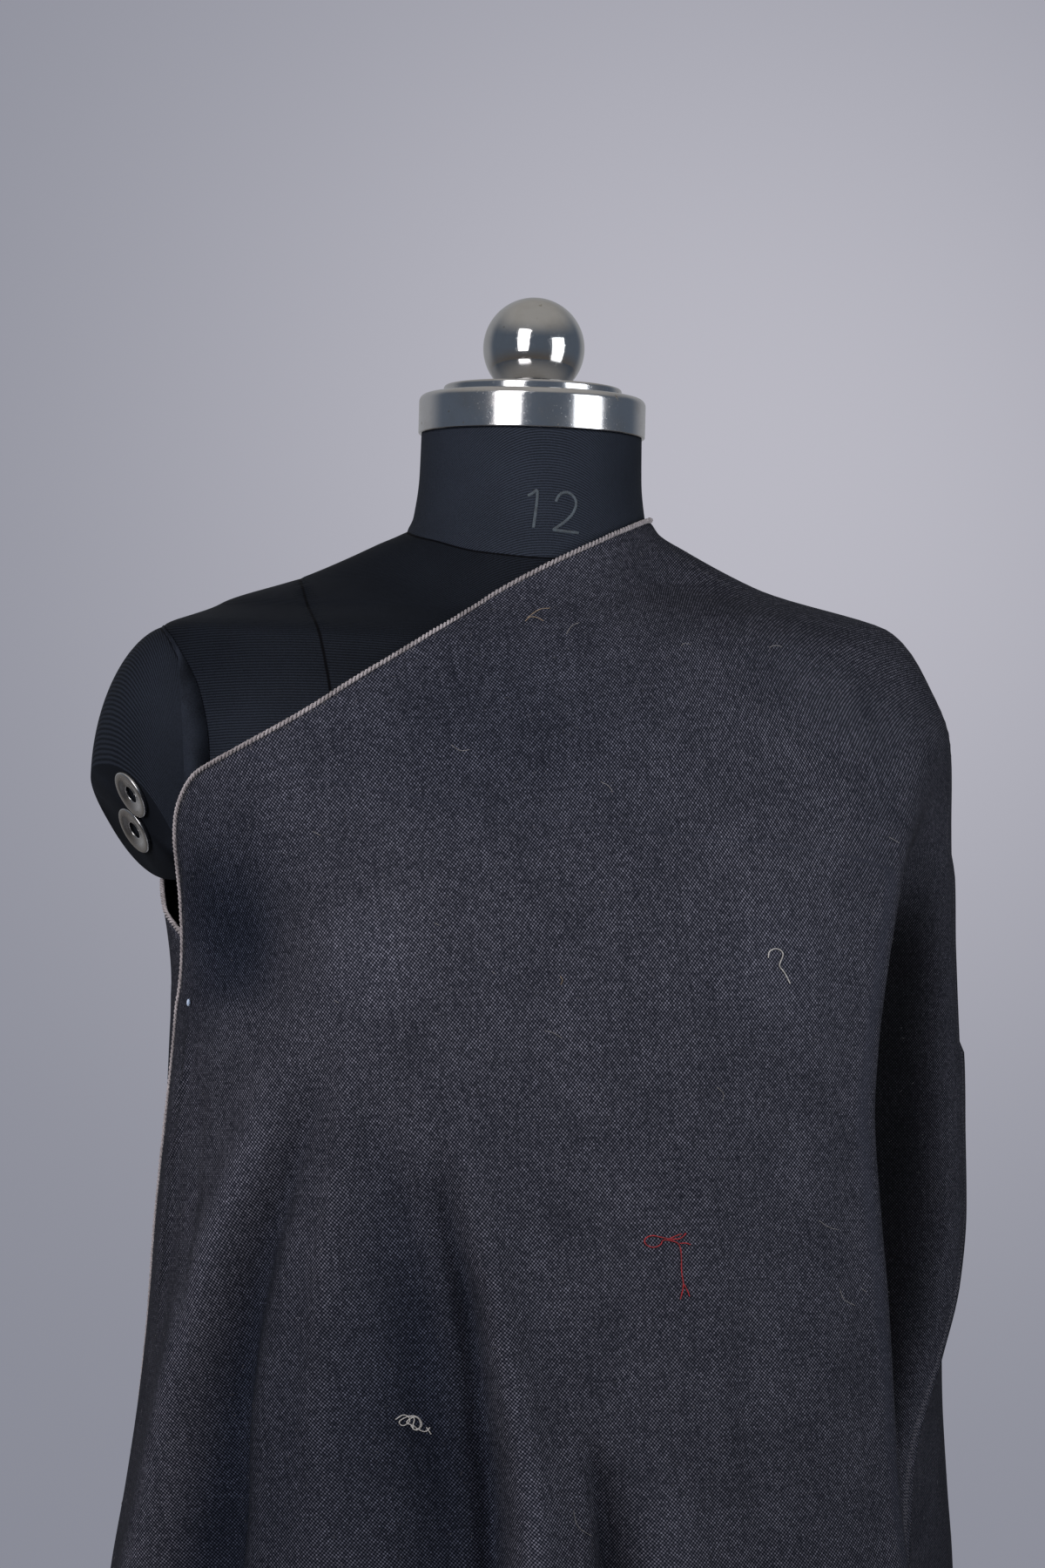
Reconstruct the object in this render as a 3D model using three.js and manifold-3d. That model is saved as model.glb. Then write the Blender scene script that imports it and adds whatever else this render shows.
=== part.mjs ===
// A stole worn over one shoulder of a limbless dress form on its stand.
// Millimetres, +Z up, +X to the right as seen from the front, the front faces -Y.
// The origin is the middle of the stand's underside, on the floor.
// An angle runs round the upright axis: 0 at the front, 90 at +X, 180 at the back, -90 at -X.

import * as THREE from 'three';
import Module from 'manifold-3d';
import { mergeVertices } from 'three/addons/utils/BufferGeometryUtils.js';

const wasm = await Module();
wasm.setup();

// driving sizes
const gap = 0.3;
const seamGap = 0.4;
const edgeGap = 0.5;
const clothWall = 1.5;
const selvedgeWidth = 2.4;
const selvedgeWall = 1.9;
const selvedgeProud = 0.3;
const pinHeadRadius = 1.6;

// rest of the cloth on the form: raised by lift, widened by clear
const lift = 1.2;
const clear = 1.6;
const bridge = 6;

// sections of the form: an oval core, and a wing that reaches out to the shoulder
const formSections = [
  { height: 735, core: 168, front: 104, back: 122, power: 2.3, wing: 0, wingPower: 5 },
  { height: 770, core: 172, front: 108, back: 128, power: 2.3, wing: 0, wingPower: 5 },
  { height: 830, core: 164, front: 108, back: 120, power: 2.3, wing: 0, wingPower: 5 },
  { height: 900, core: 144, front: 103, back: 100, power: 2.2, wing: 0, wingPower: 5 },
  { height: 975, core: 121, front: 94, back: 84, power: 2.2, wing: 0, wingPower: 5 },
  { height: 1040, core: 133, front: 99, back: 86, power: 2.2, wing: 0, wingPower: 5 },
  { height: 1100, core: 152, front: 110, back: 92, power: 2.3, wing: 0, wingPower: 5 },
  { height: 1165, core: 166, front: 121, back: 98, power: 2.35, wing: 0, wingPower: 5 },
  { height: 1217, core: 172, front: 116, back: 102, power: 2.4, wing: 0, wingPower: 5 },
  { height: 1270, core: 180, front: 104, back: 103, power: 2.45, wing: 0, wingPower: 5 },
  { height: 1310, core: 184, front: 95, back: 100, power: 2.35, wing: 3, wingPower: 5 },
  { height: 1335, core: 140, front: 88, back: 96, power: 2.2, wing: 50, wingPower: 5 },
  { height: 1346, core: 100, front: 83, back: 92, power: 2.1, wing: 83, wingPower: 6 },
  { height: 1355, core: 80, front: 77, back: 87, power: 2, wing: 80, wingPower: 8 },
  { height: 1370, core: 70, front: 70, back: 78, power: 2, wing: 48, wingPower: 12 },
  { height: 1388, core: 65, front: 65, back: 70, power: 2, wing: 15, wingPower: 14 },
  { height: 1397, core: 62.5, front: 62.5, back: 65, power: 2, wing: 1, wingPower: 14 },
  { height: 1404, core: 60.5, front: 61, back: 62, power: 2, wing: 0, wingPower: 14 },
  { height: 1425, core: 58, front: 58.5, back: 58.5, power: 2, wing: 0, wingPower: 14 },
  { height: 1450, core: 57.5, front: 57.5, back: 57.5, power: 2, wing: 0, wingPower: 14 },
];
const formRings = [
  735, 752, 790, 830, 865, 900, 940, 975, 1010, 1050, 1100, 1140, 1175, 1215, 1260,
  1300, 1325, 1340, 1350, 1360, 1370, 1380, 1388, 1395, 1401, 1410, 1430, 1447,
];
const formSides = 40;
const bust = { height: 1168, spread: 58, angle: 36, angleSpread: 20, depth: 9 };

// sections of the hanging cloth where it is clear of the form
const drapeSections = [
  { height: 200, left: 268, right: 292, front: 205, back: 205, power: 2.1 },
  { height: 420, left: 246, right: 278, front: 190, back: 188, power: 2.1 },
  { height: 700, left: 220, right: 260, front: 170, back: 160, power: 2.15 },
  { height: 860, left: 202, right: 250, front: 158, back: 144, power: 2.2 },
  { height: 900, left: 196, right: 246, front: 155, back: 137, power: 2.2 },
  { height: 950, left: 190, right: 242, front: 152, back: 130, power: 2.25 },
  { height: 1000, left: 186, right: 240, front: 149, back: 124, power: 2.3 },
  { height: 1045, left: 184, right: 242, front: 146, back: 118, power: 2.3 },
  { height: 1100, left: 181, right: 240, front: 143, back: 112, power: 2.3 },
  { height: 1160, left: 179, right: 236, front: 139, back: 108, power: 2.35 },
  { height: 1204, left: 185, right: 233, front: 133, back: 108, power: 2.4 },
  { height: 1249, left: 195, right: 229, front: 123, back: 108, power: 2.4 },
  { height: 1294, left: 199, right: 225, front: 111, back: 106, power: 2.4 },
  { height: 1323, left: 196, right: 213, front: 98, back: 100, power: 2.3 },
  { height: 1350, left: 170, right: 194, front: 80, back: 88, power: 2 },
  { height: 1372, left: 100, right: 115, front: 60, back: 68, power: 1.4 },
  { height: 1405, left: 50, right: 50, front: 50, back: 50, power: 2 },
];

// the deep fold under the right shoulder: angles of its ridge, valley and crest, and how far each
// is drawn in
const sideFold = [
  { height: 200, ridge: 65, ridgeIn: 6, valley: 71, valleyIn: 48, crest: 76, crestIn: 36 },
  { height: 400, ridge: 65, ridgeIn: 6, valley: 71, valleyIn: 48, crest: 76, crestIn: 36 },
  { height: 700, ridge: 63, ridgeIn: 4, valley: 70, valleyIn: 44, crest: 75, crestIn: 34 },
  { height: 860, ridge: 61, ridgeIn: 2, valley: 69.5, valleyIn: 43, crest: 74, crestIn: 33 },
  { height: 890, ridge: 60, ridgeIn: 2, valley: 70, valleyIn: 46, crest: 75, crestIn: 31 },
  { height: 930, ridge: 59, ridgeIn: 2, valley: 71, valleyIn: 52, crest: 77, crestIn: 27 },
  { height: 970, ridge: 58, ridgeIn: 2, valley: 72, valleyIn: 58, crest: 82, crestIn: 16 },
  { height: 1010, ridge: 57, ridgeIn: 2, valley: 73, valleyIn: 62, crest: 87, crestIn: 4 },
  { height: 1049, ridge: 56, ridgeIn: 3, valley: 73, valleyIn: 64, crest: 91, crestIn: 0 },
  { height: 1100, ridge: 55, ridgeIn: 3, valley: 73, valleyIn: 62, crest: 92, crestIn: 0 },
  { height: 1140, ridge: 56, ridgeIn: 3, valley: 73, valleyIn: 58, crest: 92, crestIn: 0 },
  { height: 1182, ridge: 58, ridgeIn: 2, valley: 74, valleyIn: 50, crest: 92, crestIn: 0 },
  { height: 1218, ridge: 61, ridgeIn: 1, valley: 75, valleyIn: 34, crest: 91, crestIn: 0 },
  { height: 1249, ridge: 64, ridgeIn: 0, valley: 76, valleyIn: 14, crest: 90, crestIn: 0 },
  { height: 1271, ridge: 66, ridgeIn: 0, valley: 77, valleyIn: 6, crest: 89, crestIn: 0 },
  { height: 1294, ridge: 68, ridgeIn: 0, valley: 78, valleyIn: 2, crest: 88, crestIn: 0 },
  { height: 1330, ridge: 68, ridgeIn: 0, valley: 78, valleyIn: 0, crest: 88, crestIn: 0 },
];
const sideFoldLead = 30;
const sideFoldEnd = 99;

// soft hanging folds: each starts at a height, is full at a lower one and drifts from its top angle
// to its low one
const softFolds = [
  { name: 'left edge ridge', top: -70, low: -72, start: 1200, full: 1020, width: 12, depth: 5 },
  { name: 'left bust trough', top: -47, low: -49, start: 1180, full: 1000, width: 7, depth: -10 },
  { name: 'left bust ridge', top: -36, low: -38, start: 1190, full: 980, width: 7, depth: 6 },
  { name: 'inner trough', top: -16, low: -16, start: 1080, full: 900, width: 6, depth: -7 },
  { name: 'middle ridge', top: -6, low: -4, start: 1080, full: 900, width: 7, depth: 5 },
  { name: 'centre trough', top: 6, low: 9, start: 960, full: 860, width: 5, depth: -6 },
  { name: 'right bust ridge', top: 24, low: 26, start: 1000, full: 700, width: 10, depth: 5 },
  { name: 'back ridge, right', top: 118, low: 120, start: 1250, full: 900, width: 10, depth: 8 },
  { name: 'back trough, right', top: 136, low: 137, start: 1250, full: 900, width: 8, depth: -9 },
  { name: 'back ridge, middle', top: 156, low: 155, start: 1200, full: 850, width: 10, depth: 7 },
  { name: 'back trough, middle', top: 178, low: 176, start: 1150, full: 850, width: 8, depth: -9 },
  { name: 'back ridge, left', top: 198, low: 196, start: 1150, full: 900, width: 10, depth: 6 },
  { name: 'back trough, left', top: 222, low: 220, start: 1150, full: 850, width: 9, depth: -9 },
  { name: 'back edge ridge', top: 243, low: 243, start: 1150, full: 900, width: 10, depth: 6 },
];
const foldBottom = 400;
const hemFullness = { from: 880, to: 420, extra: 1.1 };

// where the inner selvedge runs, front and back
const frontRoute = [
  { height: 450, angle: -104 },
  { height: 860, angle: -100 },
  { height: 950, angle: -97 },
  { height: 1024, angle: -92 },
  { height: 1052, angle: -89 },
  { height: 1084, angle: -86 },
  { height: 1116, angle: -83.5 },
  { height: 1160, angle: -80.5 },
  { height: 1190, angle: -78 },
  { height: 1216, angle: -76 },
  { height: 1239, angle: -74 },
  { height: 1250.5, angle: -72.5 },
  { height: 1265, angle: -69 },
  { height: 1272.5, angle: -65 },
  { height: 1280, angle: -61 },
  { height: 1297, angle: -53 },
  { height: 1320, angle: -44 },
  { height: 1357, angle: -23 },
  { height: 1374, angle: -2.3 },
  { height: 1391.5, angle: 29 },
  { height: 1397, angle: 43 },
  { height: 1402, angle: 62 },
  { height: 1404.5, angle: 86 },
];
const backRoute = [
  { height: 450, angle: 268 },
  { height: 860, angle: 272 },
  { height: 950, angle: 275 },
  { height: 1024, angle: 279 },
  { height: 1080, angle: 282 },
  { height: 1120, angle: 284 },
  { height: 1150, angle: 283 },
  { height: 1172, angle: 278 },
  { height: 1195, angle: 269 },
  { height: 1216, angle: 260 },
  { height: 1239, angle: 253.5 },
  { height: 1250, angle: 251 },
  { height: 1265, angle: 247 },
  { height: 1280, angle: 242 },
  { height: 1297, angle: 235 },
  { height: 1320, angle: 226 },
  { height: 1357, angle: 205 },
  { height: 1374, angle: 184 },
  { height: 1391.5, angle: 152 },
  { height: 1397, angle: 138 },
  { height: 1402, angle: 119 },
  { height: 1404.5, angle: 94 },
];

// how low the cloth hangs, all round; the peak at the side is where the two ends part
const hem = [
  { angle: -110, height: 590 },
  { angle: -60, height: 545 },
  { angle: -10, height: 480 },
  { angle: 40, height: 415 },
  { angle: 66, height: 345 },
  { angle: 80, height: 262 },
  { angle: 86, height: 540 },
  { angle: 93, height: 800 },
  { angle: 100, height: 540 },
  { angle: 106, height: 262 },
  { angle: 122, height: 345 },
  { angle: 145, height: 415 },
  { angle: 190, height: 480 },
  { angle: 240, height: 545 },
  { angle: 290, height: 590 },
];

// rows of the cloth from the top down; the last ones are spread evenly to the hem
const clothRows = [
  1403.5, 1399.5, 1395, 1390, 1384, 1377, 1369, 1360, 1350, 1338, 1322, 1302, 1280, 1258,
  1232, 1205, 1175, 1142, 1105, 1065, 1022, 978, 935, 895, 860,
];
const lastClothRow = clothRows[clothRows.length - 1];
const hemRows = 5;
const frontColumns = 26;
const sideColumns = 16;
const backColumns = 22;

// where the side stretch starts at the shoulder tip, and how wide it grows
const sideTop = { height: 1356, firstRow: 1350, spread: 112, toFront: 40, toBack: 24 };

// the back layer slips under the front one at the left side
const underlap = { inset: 4.2, start: 14, run: 11, top: 1225, fade: 25 };
const pinPlace = { angle: -74.5, height: 1151 };

// arm caps: rings between a pivot under the arm and an arc over the shoulder tip
const capPivot = { start: 176, end: 196, height: 1212 };
const capArc = { x: 184, z: 1270, reach: 47, rise: 73 };
const capDepth = { start: 47, end: 34 };
const capPower = { start: 2, end: 2.5 };
const capLean = 0.4;
const capRings = 7;
const capSides = 24;
const capRoot = 26;
const washer = { radius: 13, bore: 4.5, thick: 2.2, rim: 4.4 };
const washerSpots = [
  { name: 'arm_washer_upper', along: -17.6, across: -16 },
  { name: 'arm_washer_lower', along: 3.9, across: 5.2 },
];

// neck cap
const bandBottom = 1447.3;
const bandTop = 1468;
const bandRadius = 59.2;
const bandRound = 4;
const bandChamfer = 0.8;
const discRadius = 46.5;
const discThick = 4.7;
const discRound = 1.6;
const knobRadius = 26.5;
const knobSeat = 20.2;
const knobSteps = 8;
const knobSides = 20;
const neckSides = 28;

// stand
const boardThick = 12;
const boardInset = 4;
const collarRadius = 32;
const collarHeight = 30;
const turnedSides = 24;
const baseSides = 32;
const collarNeck = { foot: 20, top: 22, height: 18 };
const collarRim = 5;
const poleRadius = 14;
const baseRadius = 215;
const baseEdge = 14;
const baseChamfer = 4;
const baseSlope = { radius: 74, height: 20 };
const hub = { radius: 34, foot: 26, top: 22, height: 40 };

const jersey = new THREE.Color(0x16181d);
const woven = new THREE.Color(0x2c2e36);

function material(color, roughness, metalness) {
  return new THREE.MeshStandardMaterial({ color, roughness, metalness });
}

function radians(degrees) {
  return THREE.MathUtils.degToRad(degrees);
}

// smooth value of one column of a table, with no overshoot between its rows
function valueAt(rows, key, column, at) {
  const last = rows.length - 1;
  const x = Math.min(Math.max(at, rows[0][key]), rows[last][key]);
  let i = 0;
  while (i < last - 1 && rows[i + 1][key] <= x) {
    i += 1;
  }
  const slope = (n) => (rows[n + 1][column] - rows[n][column]) / (rows[n + 1][key] - rows[n][key]);
  const tangent = (n) => {
    if (n === 0) {
      return slope(0);
    }
    if (n === last) {
      return slope(last - 1);
    }
    const before = slope(n - 1);
    const after = slope(n);
    return before * after > 0 ? (2 * before * after) / (before + after) : 0;
  };
  const step = rows[i + 1][key] - rows[i][key];
  const t = (x - rows[i][key]) / step;
  const t2 = t * t;
  const t3 = t2 * t;
  return (2 * t3 - 3 * t2 + 1) * rows[i][column]
    + (t3 - 2 * t2 + t) * step * tangent(i)
    + (3 * t2 - 2 * t3) * rows[i + 1][column]
    + (t3 - t2) * step * tangent(i + 1);
}

function smooth(t) {
  const s = Math.min(Math.max(t, 0), 1);
  return s * s * (3 - 2 * s);
}

// the larger of two lengths, rounded off where they cross
function softMax(a, b) {
  return (a + b + Math.hypot(a - b, bridge)) / 2;
}

// radius of an oval with its own reach to each side, at an angle in degrees
function ovalRadius(angle, left, right, front, back, power) {
  const s = Math.sin(radians(angle));
  const c = Math.cos(radians(angle));
  const across = Math.abs(s / (s >= 0 ? right : left)) ** power;
  const deep = Math.abs(c / (c >= 0 ? front : back)) ** power;
  return (across + deep) ** (-1 / power);
}

function bustRise(angle, height) {
  const turn = ((angle + 180) % 360 + 360) % 360 - 180;
  const upright = Math.exp(-(((height - bust.height) / bust.spread) ** 2));
  const left = Math.exp(-(((turn + bust.angle) / bust.angleSpread) ** 2));
  const right = Math.exp(-(((turn - bust.angle) / bust.angleSpread) ** 2));
  return bust.depth * upright * (left + right);
}

function formRadius(angle, height) {
  const at = (column) => valueAt(formSections, 'height', column, height);
  const core = at('core');
  const wing = at('wing') * Math.abs(Math.sin(radians(angle))) ** at('wingPower');
  const oval = ovalRadius(angle, core, core, at('front'), at('back'), at('power'));
  return oval + wing + bustRise(angle, height);
}

function sideFoldDepth(angle, height) {
  const at = (column) => valueAt(sideFold, 'height', column, height);
  const lead = smooth((angle - at('ridge') + sideFoldLead) / sideFoldLead);
  const fall = smooth((angle - at('ridge')) / (at('valley') - at('ridge')));
  const rise = smooth((angle - at('valley')) / (at('crest') - at('valley')));
  const end = smooth((angle - at('crest')) / (sideFoldEnd - at('crest')));
  return at('ridgeIn') * lead
    + (at('valleyIn') - at('ridgeIn')) * fall
    + (at('crestIn') - at('valleyIn')) * rise
    - at('crestIn') * end;
}

function softFoldDepth(angle, height) {
  const nearHem = smooth((hemFullness.from - height) / (hemFullness.from - hemFullness.to));
  let sum = 0;
  for (const fold of softFolds) {
    const drift = smooth((fold.start - height) / (fold.start - foldBottom));
    const grown = smooth((fold.start - height) / (fold.start - fold.full));
    const middle = fold.top + (fold.low - fold.top) * drift;
    sum += fold.depth * grown * Math.exp(-(((angle - middle) / fold.width) ** 2));
  }
  return sum * (1 + hemFullness.extra * nearHem);
}

function underlapDepth(angle, height) {
  const frontEdge = valueAt(frontRoute, 'height', 'angle', height) + 360;
  const reach = smooth((angle - frontEdge + underlap.start) / underlap.run);
  return underlap.inset * reach * smooth((underlap.top - height) / underlap.fade);
}

// radius of the middle of the cloth
function clothRadius(angle, height) {
  const at = (column) => valueAt(drapeSections, 'height', column, height);
  const hang = ovalRadius(angle, at('left'), at('right'), at('front'), at('back'), at('power'));
  const rest = formRadius(angle, height - lift) + clear;
  return softMax(rest, hang) - sideFoldDepth(angle, height) + softFoldDepth(angle, height)
    - underlapDepth(angle, height);
}

function polarPoint(radius, angle, height) {
  return new THREE.Vector3(radius * Math.sin(radians(angle)), -radius * Math.cos(radians(angle)), height);
}

function clothPoint(angle, height) {
  return polarPoint(clothRadius(angle, height), angle, height);
}

// outward unit normal of the cloth, from points a little way apart
function clothNormal(angle, height) {
  const turn = 0.2;
  const rise = 0.4;
  const around = clothPoint(angle + turn, height).sub(clothPoint(angle - turn, height));
  const up = clothPoint(angle, height + rise).sub(clothPoint(angle, height - rise));
  return around.cross(up).normalize();
}

// a closed body from an outer and an inner grid of points, row by row
function wallGeometry(outer, inner) {
  const rows = outer.length;
  const columns = outer[0].length;
  const positions = [];
  for (const grid of [outer, inner]) {
    for (const point of grid.flat()) {
      positions.push(point.x, point.y, point.z);
    }
  }
  const shift = rows * columns;
  const index = [];
  const quad = (a, b, c, d) => index.push(a, b, c, a, c, d);
  for (let i = 0; i < rows - 1; i += 1) {
    for (let j = 0; j < columns - 1; j += 1) {
      const a = i * columns + j;
      const b = a + columns;
      quad(a, b, b + 1, a + 1);
      quad(shift + a, shift + a + 1, shift + b + 1, shift + b);
    }
  }
  for (let j = 0; j < columns - 1; j += 1) {
    const low = (rows - 1) * columns + j;
    quad(shift + j, j, j + 1, shift + j + 1);
    quad(low, shift + low, shift + low + 1, low + 1);
  }
  for (let i = 0; i < rows - 1; i += 1) {
    const first = i * columns;
    const end = first + columns - 1;
    quad(first, shift + first, shift + first + columns, first + columns);
    quad(shift + end, end, end + columns, shift + end + columns);
  }
  const geometry = new THREE.BufferGeometry();
  geometry.setAttribute('position', new THREE.Float32BufferAttribute(positions, 3));
  geometry.setIndex(index);
  return geometry;
}

// a stretch of the cloth between two edges, each an angle for a height
function clothStretch(edgeA, edgeB, columns, rowHeights) {
  const outer = [];
  const inner = [];
  const total = rowHeights.length + hemRows;
  for (let i = 0; i < total; i += 1) {
    const outerRow = [];
    const innerRow = [];
    for (let j = 0; j <= columns; j += 1) {
      let height = rowHeights[Math.min(i, rowHeights.length - 1)];
      const share = (i - rowHeights.length + 1) / hemRows;
      const across = j / columns;
      if (share > 0) {
        const above = edgeA(lastClothRow) + (edgeB(lastClothRow) - edgeA(lastClothRow)) * across;
        height = lastClothRow + (valueAt(hem, 'angle', 'height', above) - lastClothRow) * share;
      }
      const angle = edgeA(height) + (edgeB(height) - edgeA(height)) * across;
      const middle = clothPoint(angle, height);
      const normal = clothNormal(angle, height);
      outerRow.push(middle.clone().addScaledVector(normal, clothWall / 2));
      innerRow.push(middle.clone().addScaledVector(normal, -clothWall / 2));
    }
    outer.push(outerRow);
    inner.push(innerRow);
  }
  return wallGeometry(outer, inner);
}

// half of the gap at a seam, as an angle
function halfGapAngle(angle, height) {
  return THREE.MathUtils.radToDeg(seamGap / 2 / clothRadius(angle, height));
}

function sideEdge(height, reach) {
  return 90 + reach * smooth((sideTop.height - height) / sideTop.spread);
}

function frontStretch() {
  const left = (height) => valueAt(frontRoute, 'height', 'angle', height);
  const right = (height) => {
    const seam = sideEdge(height, -sideTop.toFront);
    return seam - halfGapAngle(seam, height);
  };
  return clothStretch(left, right, frontColumns, clothRows);
}

function sideStretch() {
  const left = (height) => {
    const seam = sideEdge(height, -sideTop.toFront);
    return seam + halfGapAngle(seam, height);
  };
  const right = (height) => {
    const seam = sideEdge(height, sideTop.toBack);
    return seam - halfGapAngle(seam, height);
  };
  return clothStretch(left, right, sideColumns, clothRows.filter((height) => height <= sideTop.firstRow));
}

function backStretch() {
  const left = (height) => {
    const seam = sideEdge(height, sideTop.toBack);
    return seam + halfGapAngle(seam, height);
  };
  const right = (height) => valueAt(backRoute, 'height', 'angle', height);
  return clothStretch(left, right, backColumns, clothRows);
}

// the light woven edge, a narrow strip a gap outside the edge of the cloth
function selvedgeStrip(route, outward) {
  const lowest = valueAt(hem, 'angle', 'height', route[0].angle);
  const rows = [route[route.length - 1].height, ...clothRows];
  for (let i = 1; i <= hemRows; i += 1) {
    rows.push(lastClothRow + ((lowest - lastClothRow) * i) / hemRows);
  }
  const outer = [];
  const inner = [];
  const angleAt = (height) => valueAt(route, 'height', 'angle', height);
  for (const height of rows) {
    const step = 0.5;
    const high = Math.min(height + step, rows[0]);
    const low = Math.max(height - step, rows[rows.length - 1]);
    const along = clothPoint(angleAt(high), high).sub(clothPoint(angleAt(low), low)).normalize();
    const normal = clothNormal(angleAt(height), height);
    const out = along.clone().cross(normal).normalize().multiplyScalar(outward);
    const edge = clothPoint(angleAt(height), height);
    const near = edge.clone().addScaledVector(out, edgeGap);
    const far = edge.clone().addScaledVector(out, edgeGap + selvedgeWidth);
    const pair = outward < 0 ? [far, near] : [near, far];
    const proud = normal.clone().multiplyScalar(selvedgeProud);
    const face = (offset) => pair.map((point) => point.clone().add(proud).addScaledVector(normal, offset));
    outer.push(face(selvedgeWall / 2));
    inner.push(face(-selvedgeWall / 2));
  }
  return wallGeometry(outer, inner);
}

// a closed body through rings of equal size, with a fan at each end
function ringLoft(rings) {
  const sides = rings[0].length;
  const positions = rings.flat().flatMap((point) => [point.x, point.y, point.z]);
  const index = [];
  for (let i = 0; i < rings.length - 1; i += 1) {
    for (let j = 0; j < sides; j += 1) {
      const a = i * sides + j;
      const b = i * sides + ((j + 1) % sides);
      index.push(a, b, b + sides, a, b + sides, a + sides);
    }
  }
  const centre = (ring) => {
    const sum = new THREE.Vector3();
    ring.forEach((point) => sum.add(point));
    return sum.divideScalar(sides);
  };
  const bottom = centre(rings[0]);
  const top = centre(rings[rings.length - 1]);
  positions.push(bottom.x, bottom.y, bottom.z, top.x, top.y, top.z);
  const bottomAt = rings.length * sides;
  for (let j = 0; j < sides; j += 1) {
    const next = (j + 1) % sides;
    const high = (rings.length - 1) * sides;
    index.push(bottomAt, next, j);
    index.push(bottomAt + 1, high + j, high + next);
  }
  const geometry = new THREE.BufferGeometry();
  geometry.setAttribute('position', new THREE.Float32BufferAttribute(positions, 3));
  geometry.setIndex(index);
  return geometry;
}

function toSolid(geometry) {
  const clean = geometry.clone();
  clean.deleteAttribute('normal');
  clean.deleteAttribute('uv');
  const merged = mergeVertices(clean, 1e-4);
  const vertProperties = new Float32Array(merged.attributes.position.array);
  const triVerts = new Uint32Array(merged.index.array);
  return new wasm.Manifold(new wasm.Mesh({ numProp: 3, vertProperties, triVerts }));
}

function toGeometry(solid) {
  const mesh = solid.getMesh();
  const geometry = new THREE.BufferGeometry();
  geometry.setAttribute('position', new THREE.Float32BufferAttribute(mesh.vertProperties, 3));
  geometry.setIndex(Array.from(mesh.triVerts));
  return geometry;
}

function formBody(grow) {
  const rings = formRings.map((height) => {
    const ring = [];
    for (let j = 0; j < formSides; j += 1) {
      const angle = (360 * j) / formSides;
      ring.push(polarPoint(formRadius(angle, height) + grow, angle, height));
    }
    return ring;
  });
  return ringLoft(rings);
}

// a circle's coordinate squared off to a higher power
function squaredOff(value, power) {
  return Math.sign(value) * Math.abs(value) ** (2 / power);
}

// one arm cap: ovals that turn about the underarm and lean to face the front, cut clear of the body;
// side is 1 or -1
function armCap(side) {
  const rings = [];
  for (let i = -1; i < capRings; i += 1) {
    const t = Math.max(i, 0) / (capRings - 1);
    const turn = (t * Math.PI) / 2;
    const root = i < 0 ? capRoot : 0;
    const pivot = capPivot.start + (capPivot.end - capPivot.start) * t - root;
    const top = new THREE.Vector3(capArc.x + capArc.reach * Math.sin(turn) - root, 0,
      capArc.z + capArc.rise * Math.cos(turn));
    const foot = new THREE.Vector3(pivot, 0, capPivot.height);
    const centre = top.clone().add(foot).divideScalar(2);
    const half = top.clone().sub(foot).divideScalar(2);
    const depth = capDepth.start + (capDepth.end - capDepth.start) * t;
    const power = capPower.start + (capPower.end - capPower.start) * t;
    const ring = [];
    for (let j = 0; j < capSides; j += 1) {
      const angle = (side * 2 * Math.PI * j) / capSides;
      const point = centre.clone().addScaledVector(half, squaredOff(Math.sin(angle), power));
      point.y += depth * squaredOff(Math.cos(angle), power);
      point.x -= capLean * t * (depth - point.y);
      point.x *= side;
      ring.push(point);
    }
    rings.push(ring);
  }
  return toGeometry(toSolid(ringLoft(rings)).subtract(toSolid(formBody(edgeGap))));
}

// a round washer with a dished face, its axis square to the arm plate
function armWasher(spot) {
  const foot = new THREE.Vector3(-capPivot.end, 0, capPivot.height);
  const top = new THREE.Vector3(-capArc.x - capArc.reach, 0, capArc.z);
  const middle = top.clone().add(foot).divideScalar(2);
  middle.x += capLean * capDepth.end;
  const down = foot.clone().sub(top).normalize();
  const back = new THREE.Vector3(-capLean, 1, 0).normalize();
  const outward = back.clone().cross(down).normalize();
  const profile = [
    [washer.bore, 0], [washer.radius, 0], [washer.radius, washer.thick],
    [washer.radius - washer.rim, washer.thick], [washer.bore, washer.thick / 2], [washer.bore, 0],
  ].map(([radius, height]) => new THREE.Vector2(radius, height));
  const geometry = new THREE.LatheGeometry(profile, turnedSides);
  geometry.applyQuaternion(new THREE.Quaternion().setFromUnitVectors(new THREE.Vector3(0, 1, 0), outward));
  const place = middle.addScaledVector(down, spot.along).addScaledVector(back, spot.across)
    .addScaledVector(outward, gap);
  geometry.translate(place.x, place.y, place.z);
  return geometry;
}

// a turned piece from radius and height pairs, upright
function turned(profile, sides) {
  const points = profile.map(([radius, height]) => new THREE.Vector2(radius, height));
  return new THREE.LatheGeometry(points, sides).rotateX(Math.PI / 2);
}

// the quarter circle that rounds off a turned piece's top corner
function roundedCorner(radius, top, round, steps) {
  const arc = [];
  for (let i = 0; i <= steps; i += 1) {
    const turn = (i * Math.PI) / (2 * steps);
    arc.push([radius - round + round * Math.cos(turn), top - round + round * Math.sin(turn)]);
  }
  return arc;
}

function neckBand() {
  return turned([
    [0, bandBottom],
    [bandRadius - bandChamfer, bandBottom],
    [bandRadius, bandBottom + bandChamfer],
    ...roundedCorner(bandRadius, bandTop, bandRound, 4),
    [0, bandTop],
  ], neckSides);
}

function neckDisc() {
  const bottom = bandTop + gap;
  const top = bottom + discThick;
  return turned([
    [0, bottom],
    [discRadius, bottom],
    ...roundedCorner(discRadius, top, discRound, 3),
    [0, top],
  ], turnedSides);
}

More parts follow.
